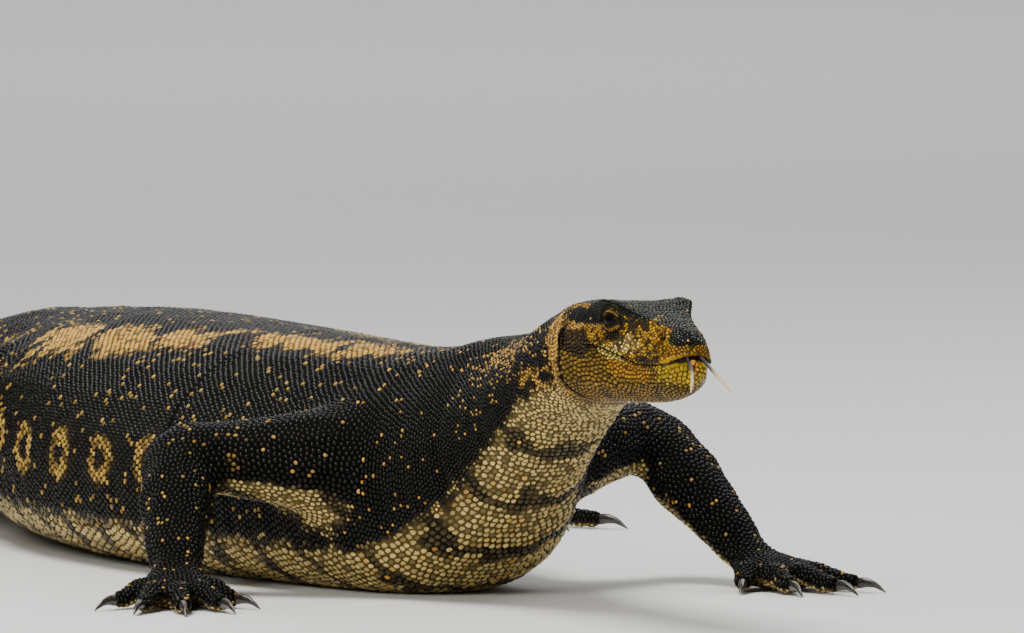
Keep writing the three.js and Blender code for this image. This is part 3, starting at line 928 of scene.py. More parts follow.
def setRows():
    found = []
    for side in (-1, 1):
        for over in (lipSettings["over"], -lipSettings["under"]):
            for back in np.arange(lipSettings["from"], lipSettings["to"], lipSettings["step"]):
                height = float(lipsHeight(back)) + over + axisSettings["mouthHeight"]
                found.append(firstHit(place(back, side * 60, height), place(back, 0, height)))
        turn = math.radians(eyeSettings["turn"])
        for k in range(lidSettings["count"]):
            angle = 2 * math.pi * k / lidSettings["count"]
            along = eyeSettings["halfLong"] * lidSettings["reach"] * math.cos(angle)
            up = eyeSettings["halfHigh"] * lidSettings["squint"] * lidSettings["reach"] * math.sin(angle)
            back = eyeSettings["back"] + along * math.cos(turn)
            out = eyeSettings["side"] + along * math.sin(turn)
            height = eyeSettings["up"] + eyeSettings["lift"] + up + axisSettings["mouthHeight"]
            far = place(back - 12 * math.sin(turn), side * (out + 12 * math.cos(turn)), height)
            found.append(firstHit(far, place(back, side * out, height)))
    points, normals, _ = ontoSkin(np.array([hit for hit in found if hit is not None]), 0.005)
    return points, normals


def isOpen(points, normals, gap):
    # Points with nothing of the skin close over them
    free = np.ones(len(points), bool)
    for i, (point, normal) in enumerate(zip(points.tolist(), normals.tolist())):
        start = Vector(point) + Vector(normal) * 0.3 * mm
        if skinTree.ray_cast(start, Vector(normal), gap * mm)[0] is not None:
            free[i] = False
    return free


def headSizes(points, normals):
    uneven = 1 + 0.35 * noiseAt(points, 5, 12)
    long, wide = headScaleSizes(bodyPlace(points), normals)
    return long * uneven, wide * uneven


def legSizes(points, normals):
    part, t, _, _ = legPlace(points)
    return legScaleSizes(part, t, normals)


def strewnSeeds(settings):
    middles = skinPoints[triangles].mean(axis=1)
    station = bodyPlace(middles)[:, 0]
    onHead = np.flatnonzero(station < settings["headEnd"])
    offTrunk = np.zeros(len(middles), bool)
    for i in np.flatnonzero(station > legsFrom).tolist():
        hit = trunkTree.find_nearest(middles[i].tolist(), settings["offTrunk"] * mm)
        offTrunk[i] = hit[0] is None
    head = strewOn(onHead, headSizes)
    head = [part[isOpen(*head, settings["cavity"])] for part in head]
    inRows = setRows()
    rowNeck = rows[0][bodyPlace(rows[0])[:, 0] < settings["rowsTo"]]
    head = pushApart(*head, headSizes, wayBack, np.concatenate([rowNeck, inRows[0]]), settings)
    back, out, up = headPlaceOf(head[0])
    mouthBack, mouthHalf = settings["mouthClear"]
    inMouth = (back < mouthBack) & (np.abs(up - mouthMiddle(back)) < mouthHalf)
    inNostril = nostrilReach(back, up, 2.3, 1.6) <= settings["nostrilClear"]
    free = (eyeReach(back, out, up) > settings["lidClear"]) & ~inMouth & ~inNostril
    head = [np.concatenate([part[free], fixed]) for part, fixed in zip(head, inRows)]
    legs = strewOn(np.flatnonzero(offTrunk), legSizes)
    legs = pushApart(*legs, legSizes, legWay, rows[0], settings)
    return head, legs


headSeeds, legSeeds = strewnSeeds(strewnSettings)
print("strewn:", len(headSeeds[0]), "scales on the head,", len(legSeeds[0]), "on the legs")

# Colours of the animal, and of the shade painted into its hollows, as they look: red, green and blue from 0
# to 255


def colour(red, green, blue):
    seen = np.array([red, green, blue]) / 255
    return np.where(seen <= 0.04045, seen / 12.92, ((seen + 0.055) / 1.055) ** 2.4)


palette = {
    "black": colour(17, 14, 7),
    "crown": colour(20, 21, 12),
    "olive": colour(56, 61, 28),
    # Painted shade, for the cheek's hollow and under the eye
    "shadeBrown": colour(27, 18, 8),
    "cheek": colour(188, 141, 8),
    "lip": colour(150, 108, 16),
    "jaw": colour(118, 90, 12),
    "jawOrange": colour(174, 123, 10),
    "jawLow": colour(130, 96, 6),
    "chin": colour(172, 142, 6),
    "pink": colour(222, 146, 64),
    "cream": colour(250, 208, 118),
    "greenWhite": colour(206, 186, 92),
    "greenBlack": colour(30, 30, 12),
    "tan": colour(206, 158, 66),
    "neckCream": colour(234, 178, 78),
    "belly": colour(204, 178, 108),
    "spot": colour(200, 160, 70),
    "lid": colour(146, 112, 40),
    # Painted shade in the nostril's hole
    "nostril": colour(60, 22, 8),
    # Painted shade in the slit of the mouth
    "mouthShade": colour(36, 13, 5),
}

# Patches of the head's sides: colour, back from the tip, up from the lips, half length, half
# height, how much it climbs going back, and strength
headPatches = [
    ("tan", 96, 17, 14, 2.4, -0.02, 0.75),
    ("jaw", 80, -9, 24, 9, 0, 0.95),
    # Painted shade over the hollow behind the mouth's corner
    ("shadeBrown", 86, 1.2, 15, 6.4, 0, 0.88),
    ("tan", 90, 8.6, 13, 2.4, -0.03, 0.9),
    ("jawOrange", 42, -8.6, 20, 4.6, 0.03, 0.9),
    ("jawLow", 58, -19, 42, 6, 0.02, 0.9),
    ("cream", 46, 2.4, 12, 4.2, 0.07, 0.95),
    # Painted shadow under the eye
    ("shadeBrown", 58, 5.0, 6.5, 2.2, 0.05, 0.95),
    ("greenWhite", 56, -2.4, 12, 2.8, 0.17, 0.9),
    ("greenBlack", 28, -3.6, 9, 1.8, 0.12, 0.9),
    ("jawOrange", 17.5, 7.4, 5.2, 4.4, 0, 0.9),
    ("lip", 4, 1.2, 9, 2.8, 0, 0.9),
    ("chin", 7, -8.6, 12, 5.6, -0.05, 0.98),
]
markSettings = {
    "crownEdge": [
        (0, 3.4), (7, 3.9), (10, 4.8), (14, 9.5), (20, 11), (30, 13), (42, 14), (55, 15), (120, 15),
    ],
    "backRow": [(330, 13), (380, 17), (450, 26), (530, 40), (600, 46), (700, 45), (800, 36)],
    "flankRow": 47,
    "ringHeight": 58,
    "ringRadius": 9,
    "bellyBars": 36,
    "tailBands": [(840, 64), (1200, 72), (1600, 52), (2000, 34)],
}


def markings(points, normals, dither):
    # The colour of the coat at each point, with painted shade in its folds and hollows; dither lets the
    # scales along an edge differ
    where = bodyPlace(points)
    back, out, up = headPlace(where)
    coat = np.tile(palette["black"], (len(points), 1))
    fine, mottle = noiseAt(points, 2.6, 5), noiseAt(points, 5.5, 6)
    patch, broad = noiseAt(points, 14, 7), noiseAt(points, 40, 8)
    ragged = noiseAt(points, 3.6, 15)
    side = np.maximum(rising(np.abs(normals[:, 1]), 0.2, 0.5), falling(back, 8, 15))

    def paint(name, mask, strength=1.0):
        share = strength * rising(mask + 0.2 * dither, 0.3, 0.7)
        coat[:] += (palette[name] - coat) * share[:, None]

    # Crown, cheek and jaw, then the patches
    onHead = falling(back + 4 * patch, 116, 124)
    edge = np.interp(back, *zip(*markSettings["crownEdge"]))
    over = overMouth(back, up)
    onCheek = onHead * falling(up + 2.4 * mottle + fine, edge - 1.5, edge + 1.0)
    paint("crown", onHead)
    paint("olive", onHead * rising(fine + 0.6 * mottle, -0.05, 0.35), 0.8)
    paint("cheek", onCheek)
    paint("jaw", onHead * falling(over + 0.8 * mottle, -1, 0.5))
    for name, middleBack, middleUp, long, high, climb, strength in headPatches:
        lift = up - middleUp - climb * (back - middleBack)
        reach = np.hypot((back - middleBack) / long, lift / high) + 0.26 * ragged + 0.16 * mottle
        paint(name, onHead * side * falling(reach, 0.72, 1.15), strength)

    # Dark flecks and cracks of the cheek, sparse by the nostril
    toCrown = rising(up - edge, -7, -0.5)
    speckle = rising(fine + 0.7 * mottle + 0.3 * toCrown, 0.14, 0.36) * rising(over, 1, 3)
    cracks = 0.9 * falling(np.abs(ragged + 0.4 * fine), 0.03, 0.13)
    speckle = np.maximum(speckle, cracks * rising(over, 0.6, 1.6)) * rising(back, 6, 16)
    nearNose = bump(back, 18, 7) * bump(up, 7, 5)
    nearNose = np.maximum(nearNose, 0.5 * bump(back, 38, 15) * bump(up - 0.07 * back, -0.3, 4))
    paint("black", onCheek * speckle * (1 - 0.8 * nearNose), 0.92)
    # Painted shade along the slanting fold before the eye
    paint("black", onCheek * eyeFold(back, up, 1.2) * rising(up, 4, 7), 0.9)

    # A black stripe behind the eye with a pale line under it, and painted shade in the hollow behind the
    # mouth
    stripe = bump(up, 12.4 + 0.02 * (back - 66), 3.1) * rising(back, 62, 68) * falling(back, 96, 106)
    paint("black", onHead * side * rising(stripe, 0.2, 0.5))
    line = bump(up, 9.0 - 0.01 * (back - 66), 1.1) * rising(back, 62, 66) * falling(back, 82, 92)
    paint("tan", onHead * side * line, 0.9)
    # Painted shade in the hollow behind the mouth
    paint("black", bump(back, 99.5, 6.5) * bump(up, 2.5, 6) * (out > 20), 0.9)

    # Throat, collar and the folds under it
    throat = onHead * rising(-normals[:, 2], 0.45, 0.8) * rising(back, 14, 24)
    paint("jawLow", throat)
    paint("black", throat * rising(mottle + 0.5 * np.sin(back / 4.2 + out / 5), 0.25, 0.5), 0.6)
    collar = 1.2 * bump(back + 3 * mottle, 114, 11) * bump(up, -2, 16) * side
    paint("black", bump(back, 114, 14) * side * (up < 14), 0.9)
    paint("neckCream", collar * rising(mottle + 0.7 * fine + 0.3 * patch, -0.7, -0.35))
    paint("black", collar * cracks, 0.8)
    lowFold = 1.4 * bump(back, 128, 24) * bump(up, -20, 7.5) * side
    paint("tan", lowFold * rising(mottle + 0.6 * fine, -0.5, -0.1))
    paint("black", lowFold * cracks * (back > 112))
    # Painted shade along the fold behind the jaw
    paint("black", onHead * jawFold(back, up, 1.6) * side * rising(-up, -3, 1))

    # Lip's tip, painted shade in the nostril, lids, and painted shade along the mouth's line and in its slit
    paint("pink", bump(back, 1, 4) * bump(out, 0, 3) * bump(up, -6, 2.4))
    # Painted shade in the nostril's hole
    paint("nostril", side * (back < 30) * falling(nostrilReach(back, up, 2.5, 1.7), 0.7, 1.2))
    reach = eyeReach(back, out, up)
    nearEye = rising(np.where(back > eyeSettings["back"], 2.6, 2.25) - reach, 0, 0.5)
    nearEye *= rising(mottle + 0.6 * fine, -0.4, 0.05)
    paint("black", np.maximum(nearEye, falling(reach, 1.55, 1.75)), 0.95)
    arc = rising(np.abs(up - eyeSettings["up"] - eyeSettings["lift"]), 1.2, 2.4)
    above = up > eyeSettings["up"]
    paint("lid", bump(reach, np.where(above, 1.36, 1.26), np.where(above, 0.26, 0.17)) * arc, 0.9)
    # Painted shade along the groove where the lips meet
    paint("black", rising(-over, -0.7, -0.2) * rising(over, -0.7, -0.2) * side * (back < 80), 0.9)
    # Painted shade in the slit that the tongue comes out of
    half = slitHalf(back)
    paint("mouthShade", (np.abs(up - mouthMiddle(back)) < half * 1.1) & (back < formSettings["slitEnd"]))

    # Neck and trunk: blotches in a row along each side of the back, rings on the flanks, and
    # a pale belly with dark bars
    body = rising(back, 112, 122)
    height = where[:, 2]
    under = rising(-normals[:, 2], 0.25, 0.7)
    row = np.interp(back, *zip(*markSettings["backRow"])) + 9 * patch + 12 * broad
    inRow = bump(out, row, 13) * rising(normals[:, 2], 0.2, 0.5)
    blotches = rising(broad + 0.6 * patch + 0.25 * mottle, -0.15, 0.1)
    alongBack = between(back, 290, 340, 760, 820)
    paint("tan", body * inRow * blotches * alongBack)
    pitch = markSettings["flankRow"]
    cell = np.floor(back / pitch)
    sway = np.sin(cell * 12.9898) * 0.5
    radius = markSettings["ringRadius"]
    aside, lift = back - (cell + 0.5) * pitch - 8 * sway, height - markSettings["ringHeight"] - 16 * sway
    ring = np.hypot(aside / radius, lift / radius)
    ring += 0.16 * mottle + 0.12 * patch
    onFlank = (out < 112) * (1 - under) * rising(back, 300, 340) * falling(back, 780, 820)
    paint("spot", body * onFlank * bump(ring, 0.95, 0.42) * (1 + 0.3 * sway), 0.85)
    bars = np.abs(np.sin(math.pi * (back / markSettings["bellyBars"] + 0.3 * patch)))
    paint("belly", body * under * (0.9 + 0.3 * mottle))
    paint("black", body * under * falling(bars, 0.25, 0.55) * rising(back, 140, 200), 0.9)

    # Tail: bands that narrow towards its tip
    keys = np.array(markSettings["tailBands"], float)
    bands = np.concatenate([[0], np.cumsum(np.diff(keys[:, 0]) / keys[1:, 1])])
    phase = np.interp(back, keys[:, 0], bands)
    band = rising(np.cos(2 * math.pi * phase) + 0.35 * patch + 0.2 * fine, 0.35, 0.7)
    paint("spot", rising(back, 820, 900) * band, 0.75)
    return coat


# Chances of a pale fleck and of a dark one, and how far the shades of single scales vary
fleckSettings = {
    "neck": 0.04,
    "neckBand": 0.62,
    "neckClumps": 0.12,
    "trunk": 0.05,
    "trunkClumps": 0.16,
    "head": 0.01,
    "dark": {"trunk": 0.14, "jaw": 0.05, "head": 0.24},
    "share": 0.75,
    "shades": (0.5, 1),
    "darkShade": 0.3,
    "lightness": (0.66, 1.24),
    "hue": (0.94, 1.06),
}


def chanceOf(points, settings):
    # How likely a scale is to be a pale fleck, or a dark one, at each point
    back, _, up = headPlaceOf(points)
    clumps = noiseAt(points, 9, 9)
    neck = between(back, 118, 126, 236, 300)
    band = bump(up + 12 + 0.25 * (back - 190), 0, 8) * bump(back, 184, 34)
    onNeck = settings["neck"] + settings["neckBand"] * band + settings["neckClumps"] * clumps
    onTrunk = settings["trunk"] + settings["trunkClumps"] * clumps
    pale = np.where(back < 118, settings["head"], neck * onNeck + (1 - neck) * (back > 126) * onTrunk)
    darks = settings["dark"]
    onJaw = overMouth(back, up) < -0.5
    dark = np.where(back > 118, darks["trunk"], np.where(onJaw, darks["jaw"], darks["head"]))
    return np.clip(pale, 0, 1), dark


# Every scale: a cell of its own between its neighbours, raised to a rounded, keeled or flat top;
# "lower" is what is taken off the height there, and "most" is how many scales a piece holds

scaleSettings = {
    "neighbours": 12,
    "gap": {"body": 0.22, "jaw": 0.32, "cheek": 0.2, "crown": 0.26, "chin": 0.13},
    "flat": {"body": 0.2, "jaw": 1.0, "cheek": 0.9},
    "height": {"ofSize": 0.2, "head": 0.9, "neck": 1.3},
    "lower": {"under": 0.35, "chin": 0.6, "crown": 0.35, "snout": 0.4},
    "crest": 0.9,
    "keel": [(200, 0), (340, 0.55), (900, 0.75), (1200, 1.0)],
    "legKeel": 0.3,
    "widest": 0.8,
    "narrowest": 0.22,
    "leastKept": 0.5,
    "uneven": (0.85, 1.15),
    "tilt": 0.12,
    "keelRise": 0.45,
    "keelBack": 0.16,
    "corners": {"head": 9, "body": 6},
    "patch": 0.003,
    "most": {"head": 4200, "body": 10400},
}
# Rings of each scale, from its rim in the skin to its top: how wide, how high, how much wider on
# a flat scale, and how dark it is painted: the groove's own dark, and painted shade down the scale's sides
sunkRing = (1.0, -0.4, 0, 1.0)
scaleRings = {
    "head": [sunkRing, (0.9, 0.52, 0.06, 0.55), (0.62, 0.86, 0.036, 0.12)],
    "body": [sunkRing, (0.68, 0.72, 0.03, 0.12)],
}


def gatherSeeds():
    # All seeds as one table: place, normal, way back, size, form, group and place on the unwrap
    rowPoints, rowNormals, rowSizes, around = rows
    headPoints, headNormals = headSeeds
    legPoints, legNormals = legSeeds
    points = np.concatenate([rowPoints, headPoints, legPoints])
    normals = np.concatenate([rowNormals, headNormals, legNormals])
    where = bodyPlace(points)
    back, out, up = headPlace(where)
    counts = [len(rowPoints), len(headPoints), len(legPoints)]
    group = np.repeat([0, 1, 2], counts)
    onRows, onHead, onLegs = (group == k for k in range(3))

    way = wayBack(points)
    part, t, along, across = legPlace(legPoints)
    way[onLegs] = along

    sizes = np.empty((len(points), 2))
    sizes[onRows] = rowSizes
    sizes[onHead] = np.stack(headSizes(headPoints, headNormals), axis=1)
    sizes[onLegs] = np.stack(legScaleSizes(part, t, legNormals), axis=1)

    over = overMouth(back, up)
    onJaw = onHead & (over < -0.5)
    under = rising(-normals[:, 2], 0.3, 0.7)
    heights, lower, gaps, flats = (scaleSettings[key] for key in ("height", "lower", "gap", "flat"))
    height = heights["ofSize"] * np.sqrt(sizes[:, 0] * sizes[:, 1])
    height[onHead] *= heights["head"]
    height *= 1 - lower["under"] * under
    height[onRows & (back < 300)] *= heights["neck"]
    chin = onHead * falling(np.hypot((back - 8) / 10, (up + 8.6) / 4.8), 0.8, 1.1)
    onCrown = onHead * rising(normals[:, 2], 0.35, 0.65) * rising(over, 4, 8)
    onSnout = onHead * falling(back, 16, 30) * (over > 0)
    height *= (1 - lower["chin"] * chin) * (1 - lower["crown"] * onCrown) * (1 - lower["snout"] * onSnout)
    gap = np.where(onJaw, gaps["jaw"], np.where(onHead, gaps["cheek"], gaps["body"]))
    gap += (gaps["crown"] - gap) * onCrown
    gap += (gaps["chin"] - gap) * chin
    keel = np.where(onRows, (1 - under) * np.interp(back, *zip(*scaleSettings["keel"])), 0)
    keel = np.where(onLegs, scaleSettings["legKeel"] * (1 - under), keel)
    crest = onRows * rising(back, 820, 900) * falling(out, 2.2, 4.5) * (normals[:, 2] > 0.3)
    height *= 1 + scaleSettings["crest"] * crest

    unwrapped = np.empty((len(points), 2))
    turn = np.arctan2(np.where(where[:, 1] < 0, -out, out), up + 6) / (2 * math.pi) + 0.5
    unwrapped[onHead] = np.stack([turn[onHead], back[onHead] / 130], axis=1)
    unwrapped[onRows] = np.stack([around, back[onRows] / 2000], axis=1)
    lengths = np.array([line[2] for line in legParts])[part]
    sole = (legNormals[:, 2] < 0) & (lengths == 2)
    unwrapped[onLegs] = np.stack([across / 2 + 0.5 * sole, (lengths + t) / 3], axis=1)
    leg = np.zeros(len(points), int)
    leg[onLegs] = part // 3
    return {
        "points": points, "normals": normals, "way": way, "sizes": sizes, "height": height, "keel": keel,
        "group": group, "back": back, "unwrapped": unwrapped, "leg": leg, "gap": gap,
        "flat": np.where(onJaw, flats["jaw"], np.where(onHead, flats["cheek"], flats["body"])),
    }


def cellReach(seeds, corners, chosen, near):
    # How far each chosen scale reaches in each direction before it meets its neighbours' cells,
    # in its own lengths and widths
    points, normals = seeds["points"][chosen], seeds["normals"][chosen]
    way, across = layFlat(seeds["way"][chosen], normals)
    steps = (seeds["points"][near[chosen]] - points[:, None]) / mm
    long, wide = seeds["sizes"][chosen].T
    x, y = inOwnSizes(steps, way, across, long, wide)
    off = np.abs(np.einsum("nkd,nd->nk", steps, normals))
    facing = np.einsum("nkd,nd->nk", seeds["normals"][near[chosen]], normals)
    apart = x**2 + y**2
    ignored = (facing < -0.2) | (off > 2.5 * wide[:, None]) | (apart < 0.01)
    angles = np.arange(corners) * 2 * math.pi / corners
    reach = np.empty((len(points), corners))
    for m, angle in enumerate(angles):
        towards = x * math.cos(angle) + y * math.sin(angle)
        limit = np.where(ignored | (towards < 1e-3), farOff, apart / (2 * np.maximum(towards, 1e-3)))
        reach[:, m] = np.clip(limit.min(axis=1), scaleSettings["narrowest"], scaleSettings["widest"])
    return reach, angles, way, across


def scaleVertices(seeds, kind, chosen, near):
    # Rings of points for each scale, from its sunk rim to its top
    corners = scaleSettings["corners"][kind]
    reach, angles, way, across = cellReach(seeds, corners, chosen, near)
    points, normals = seeds["points"][chosen] / mm, seeds["normals"][chosen]
    long, wide = seeds["sizes"][chosen].T
    height, flat, keel = seeds["height"][chosen], seeds["flat"][chosen], seeds["keel"][chosen]
    height = height * random.uniform(*scaleSettings["uneven"], len(chosen))
    x = reach * np.cos(angles) * long[:, None]
    y = reach * np.sin(angles) * wide[:, None]
    shrink = 1 - seeds["gap"][chosen][:, None] / np.maximum(np.hypot(x, y), 0.3)
    shrink = np.maximum(shrink, scaleSettings["leastKept"])
    x, y = x * shrink, y * shrink
    rings = scaleRings[kind]
    levels, rims = [], []
    for share, rise, more, rim in rings:
        part = share + more * flat[:, None]
        tilt = scaleSettings["tilt"] * height[:, None] * np.cos(angles) * (rise > 0)
        up = min(rise, 0) + (height * max(rise, 0))[:, None] + tilt
        level = (
            points[:, None]
            + way[:, None] * (x * part)[..., None]
            + across[:, None] * (y * part)[..., None]
            + normals[:, None] * up[..., None]
        )
        levels.append(level)
        rims.append(np.full(corners, rim))
    peak = height * (1 + scaleSettings["keelRise"] * keel)
    top = points + normals * peak[:, None] + way * (scaleSettings["keelBack"] * keel * long)[:, None]
    levels.append(top[:, None])
    rims.append(np.zeros(1))
    vertices = np.concatenate(levels, axis=1)
    vertices[..., 2] = np.maximum(vertices[..., 2], 0.02)
    plan = np.stack([x / long[:, None], y / wide[:, None]], axis=2)
    local = [plan * ring[0] for ring in rings] + [np.zeros((len(chosen), 1, 2))]
    return vertices * mm, np.concatenate(rims), np.concatenate(local, axis=1)


def scaleFaces(corners, ringCount):
    faces = []
    for ring in range(ringCount - 1):
        for m in range(corners):
            a, b = ring * corners + m, ring * corners + (m + 1) % corners
            c, d = b + corners, a + corners
            faces += [(a, b, c), (a, c, d)]
    last, top = (ringCount - 1) * corners, ringCount * corners
    for m in range(corners):
        faces.append((last + m, last + (m + 1) % corners, top))
    return np.array(faces)


def meshOf(name, vertices, faces):
    mesh = bpy.data.meshes.new(name)
    mesh.vertices.add(len(vertices))
    mesh.vertices.foreach_set("co", vertices.astype(np.float32).ravel())
    mesh.loops.add(faces.size)
    mesh.loops.foreach_set("vertex_index", faces.astype(np.int32).ravel())
    mesh.polygons.add(len(faces))
    mesh.polygons.foreach_set("loop_start", np.arange(0, faces.size, 3, dtype=np.int32))
    shadeSmooth(mesh)
    mesh.update(calc_edges=True)
    return mesh


def giveAttribute(mesh, name, values):
    kind, key = "FLOAT", "value"
    if values.ndim == 2:
        kind, key = "FLOAT_COLOR", "color"
        values = np.concatenate([values, np.ones((len(values), 1))], axis=1)
    mesh.attributes.new(name, kind, "POINT").data.foreach_set(key, values.astype(np.float32).ravel())


def makeCoatPiece(name, seeds, chosen, near, tints):
    kind = "head" if "head" in name else "body"
    vertices, rims, local = scaleVertices(seeds, kind, chosen, near)
    count, perScale = vertices.shape[:2]
    faces = scaleFaces(scaleSettings["corners"][kind], len(scaleRings[kind]))
    allFaces = (faces[None] + np.arange(count)[:, None, None] * perScale).reshape(-1, 3)
    mesh = meshOf(name, vertices.reshape(-1, 3), allFaces)
    giveAttribute(mesh, "tint", np.repeat(tints[chosen], perScale, axis=0))
    giveAttribute(mesh, "rim", np.tile(rims, count))
    places = seeds["unwrapped"][chosen].copy()
    low, high = places.min(axis=0), places.max(axis=0)
    places = 0.01 + 0.98 * (places - low) / (high - low)
    uvs = (places[:, None] + local * scaleSettings["patch"]).reshape(-1, 2)
    layer = mesh.uv_layers.new(name="OFBake")
    layer.data.foreach_set("uv", uvs[allFaces.ravel()].astype(np.float32).ravel())
    piece = blankObject(name, mesh)
    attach(piece, "root")
    return piece


def inPieces(order, most):
    count = max(1, math.ceil(len(order) / most))
    return np.array_split(order, count)


def makeCoat():
    seeds = gatherSeeds()
    near = nearestOf(seeds["points"], scaleSettings["neighbours"])
    count = len(seeds["points"])
    tints = markings(seeds["points"], seeds["normals"], random.uniform(-1, 1, count))
    flecks = fleckSettings
    pale, dark = chanceOf(seeds["points"], flecks)
    chance = random.random(count)
    fleck = np.where((seeds["back"] < 300)[:, None], palette["neckCream"], palette["spot"])
    fleck = fleck * flecks["share"] * random.uniform(*flecks["shades"], (count, 1))
    tints = np.where((chance < pale)[:, None], tints * (1 - flecks["share"]) + fleck, tints)
    tints = np.where((chance > 1 - dark)[:, None], tints * flecks["darkShade"], tints)
    tints = tints * random.uniform(*flecks["lightness"], (count, 1))
    tints = tints * random.uniform(*flecks["hue"], (count, 3))
    # Scales set in a sharp hollow would stand out of it, so they are left out
    around = unit(seeds["normals"][near[:, :6]].mean(axis=1))
    lying = np.sum(around * seeds["normals"], axis=1) > 0.4
    order = np.argsort(seeds["back"], kind="stable")
    order = order[lying[order]]
    group = seeds["group"][order]
    batches = {}
    for kind, number in (("head", 1), ("body", 0)):
        for k, chosen in enumerate(inPieces(order[group == number], scaleSettings["most"][kind])):
            batches["scales_" + kind + "_" + str(k + 1)] = chosen
    for k, name in enumerate(legSettings):
        batches["scales_" + name] = order[(group == 2) & (seeds["leg"][order] == k)]
    pieces = []
    for name, chosen in batches.items():
        pieces.append(makeCoatPiece(name, seeds, chosen, near, tints))
        print(name, len(chosen), "scales,", len(pieces[-1].data.polygons), "triangles")
    print("coat:", sum(len(piece.data.polygons) for piece in pieces), "triangles")
    return pieces


coat = makeCoat()
giveAttribute(skinMesh, "tint", markings(skinPoints, skinNormals, np.zeros(len(skinPoints))))


def bareSkin(points):
    # The lids' edges and the lips at the front have no scales of their own
    back, out, up = headPlaceOf(points)
    lids = 0.8 * rising(1.3 - eyeReach(back, out, up), 0, 0.12)
    lips = 0.65 * rising(12 - back, 0, 2) * rising(2.6 - np.abs(up - mouthMiddle(back)), 0, 0.6)
    return np.clip(lids + lips, 0, 1)


giveAttribute(skinMesh, "rim", 1 - bareSkin(skinPoints))

# Finishes


def newMaterial(name):
    material = bpy.data.materials.new(name)
    material.use_nodes = True
    material.node_tree.nodes.clear()
    return material, material.node_tree


def addNode(tree, kind, inputs=(), **values):
    # A node with its settings, and its inputs joined or set
    node = tree.nodes.new("ShaderNode" + kind)
    for name, value in values.items():
        setattr(node, name, value)
    for socket, value in dict(inputs).items():
        if isinstance(value, bpy.types.NodeSocket):
            tree.links.new(value, node.inputs[socket])
        else:
            node.inputs[socket].default_value = value
    return node


def addShader(tree, inputs):
    shader = addNode(tree, "BsdfPrincipled", inputs)
    addNode(tree, "OutputMaterial", {"Surface": shader.outputs["BSDF"]})


def attributeOf(tree, name, output="Fac"):
    return addNode(tree, "Attribute", attribute_name=name).outputs[output]


def noiseOver(tree, scale, detail):
    place = addNode(tree, "TexCoord").outputs["Object"]
    return addNode(tree, "TexNoise", {"Vector": place, "Scale": scale, "Detail": detail}).outputs["Fac"]


def ranged(tree, value, low, high, start=0.0, end=1.0):
    # Low where the value is at start, high where it is at end
    ends = {"From Min": start, "From Max": end, "To Min": low, "To Max": high}
    return addNode(tree, "MapRange", {"Value": value, **ends}).outputs["Result"]


def mixColours(tree, kind, share, a, b):
    return addNode(tree, "Mix", {0: share, 6: a, 7: b}, data_type="RGBA", blend_type=kind).outputs[2]


def stained(tree, value, stops, grain=None, depth=(1.0, 1.0)):
    # Colours that run from stop to stop, lighter and darker with a grain
    ramp = addNode(tree, "ValToRGB", {"Fac": value})
    ends = ramp.color_ramp.elements
    ends[0].position, ends[0].color = stops[0]
    ends[1].position, ends[1].color = stops[-1]
    for position, tone in stops[1:-1]:
        ends.new(position).color = tone
    if grain is None:
        return ramp.outputs["Color"]
    return mixColours(tree, "MULTIPLY", 1.0, ramp.outputs["Color"], ranged(tree, grain, *depth))


def bumpOf(tree, height, strength, distance):
    inputs = {"Height": height, "Strength": strength, "Distance": distance}
    return addNode(tree, "Bump", inputs).outputs["Normal"]


# How rough the tops of the scales are at least, how much more their rims are, and the gloss over them
scaleFinishes = {
    "skin between scales": {"wet": 0.3, "dry": 0.5, "gloss": 0, "specular": 0.1},
    "wet scales": {"wet": 0.14, "dry": 0.3, "gloss": 0.08, "specular": 0.16},
}
# The dark of the grooves between scales, partly the skin's own colour and partly painted shade
grooveAndShadeColour = (0.06, 0.045, 0.03, 1)


def scaleFinish(name):
    # Skin between scales is dark and dull, partly its own dark colour and partly painted shade; the scales'
    # rims are dull and painted darker down their sides as shade, and their tops are wet
    facts = scaleFinishes[name]
    material, tree = newMaterial(name)
    tint, rim = attributeOf(tree, "tint", "Color"), attributeOf(tree, "rim")
    grain, clouds = noiseOver(tree, 1500.0, 3.0), noiseOver(tree, 260.0, 3.0)
    toned = mixColours(tree, "MULTIPLY", 1.0, tint, ranged(tree, grain, 0.72, 1.22))
    dark = mixColours(tree, "MULTIPLY", 1.0, toned, grooveAndShadeColour)
    sheen = ranged(tree, clouds, facts["wet"], facts["wet"] + 0.28)
    rough = addNode(tree, "Math", {0: sheen, 1: ranged(tree, rim, 0.0, facts["dry"], 0.3)}, operation="ADD")
    addShader(tree, {
        "Base Color": mixColours(tree, "MIX", ranged(tree, rim, 0.0, 0.9, 0.1, 0.85), toned, dark),
        "Roughness": rough.outputs["Value"],
        "Normal": bumpOf(tree, grain, 0.25, 0.0002),
        "Specular IOR Level": facts["specular"],
        "Coat Weight": facts["gloss"],
        "Coat Roughness": 0.1,
    })
    return material


onlyMaterial(skinMesh, scaleFinish("skin between scales"))
coatFinish = scaleFinish("wet scales")
for piece in coat:
    piece.data.materials.append(coatFinish)
print("coat and skin finished")

# Eyes: dark and wet, with a round pupil in a thin bronze ring; degrees from the pupil's middle

eyeSegments = (72, 48)
eyeStops = [
    (20, (0.002, 0.002, 0.002, 1)),
    (23, (0.010, 0.006, 0.003, 1)),
    (36, (0.005, 0.003, 0.002, 1)),
    (72, (0.004, 0.003, 0.002, 1)),
]


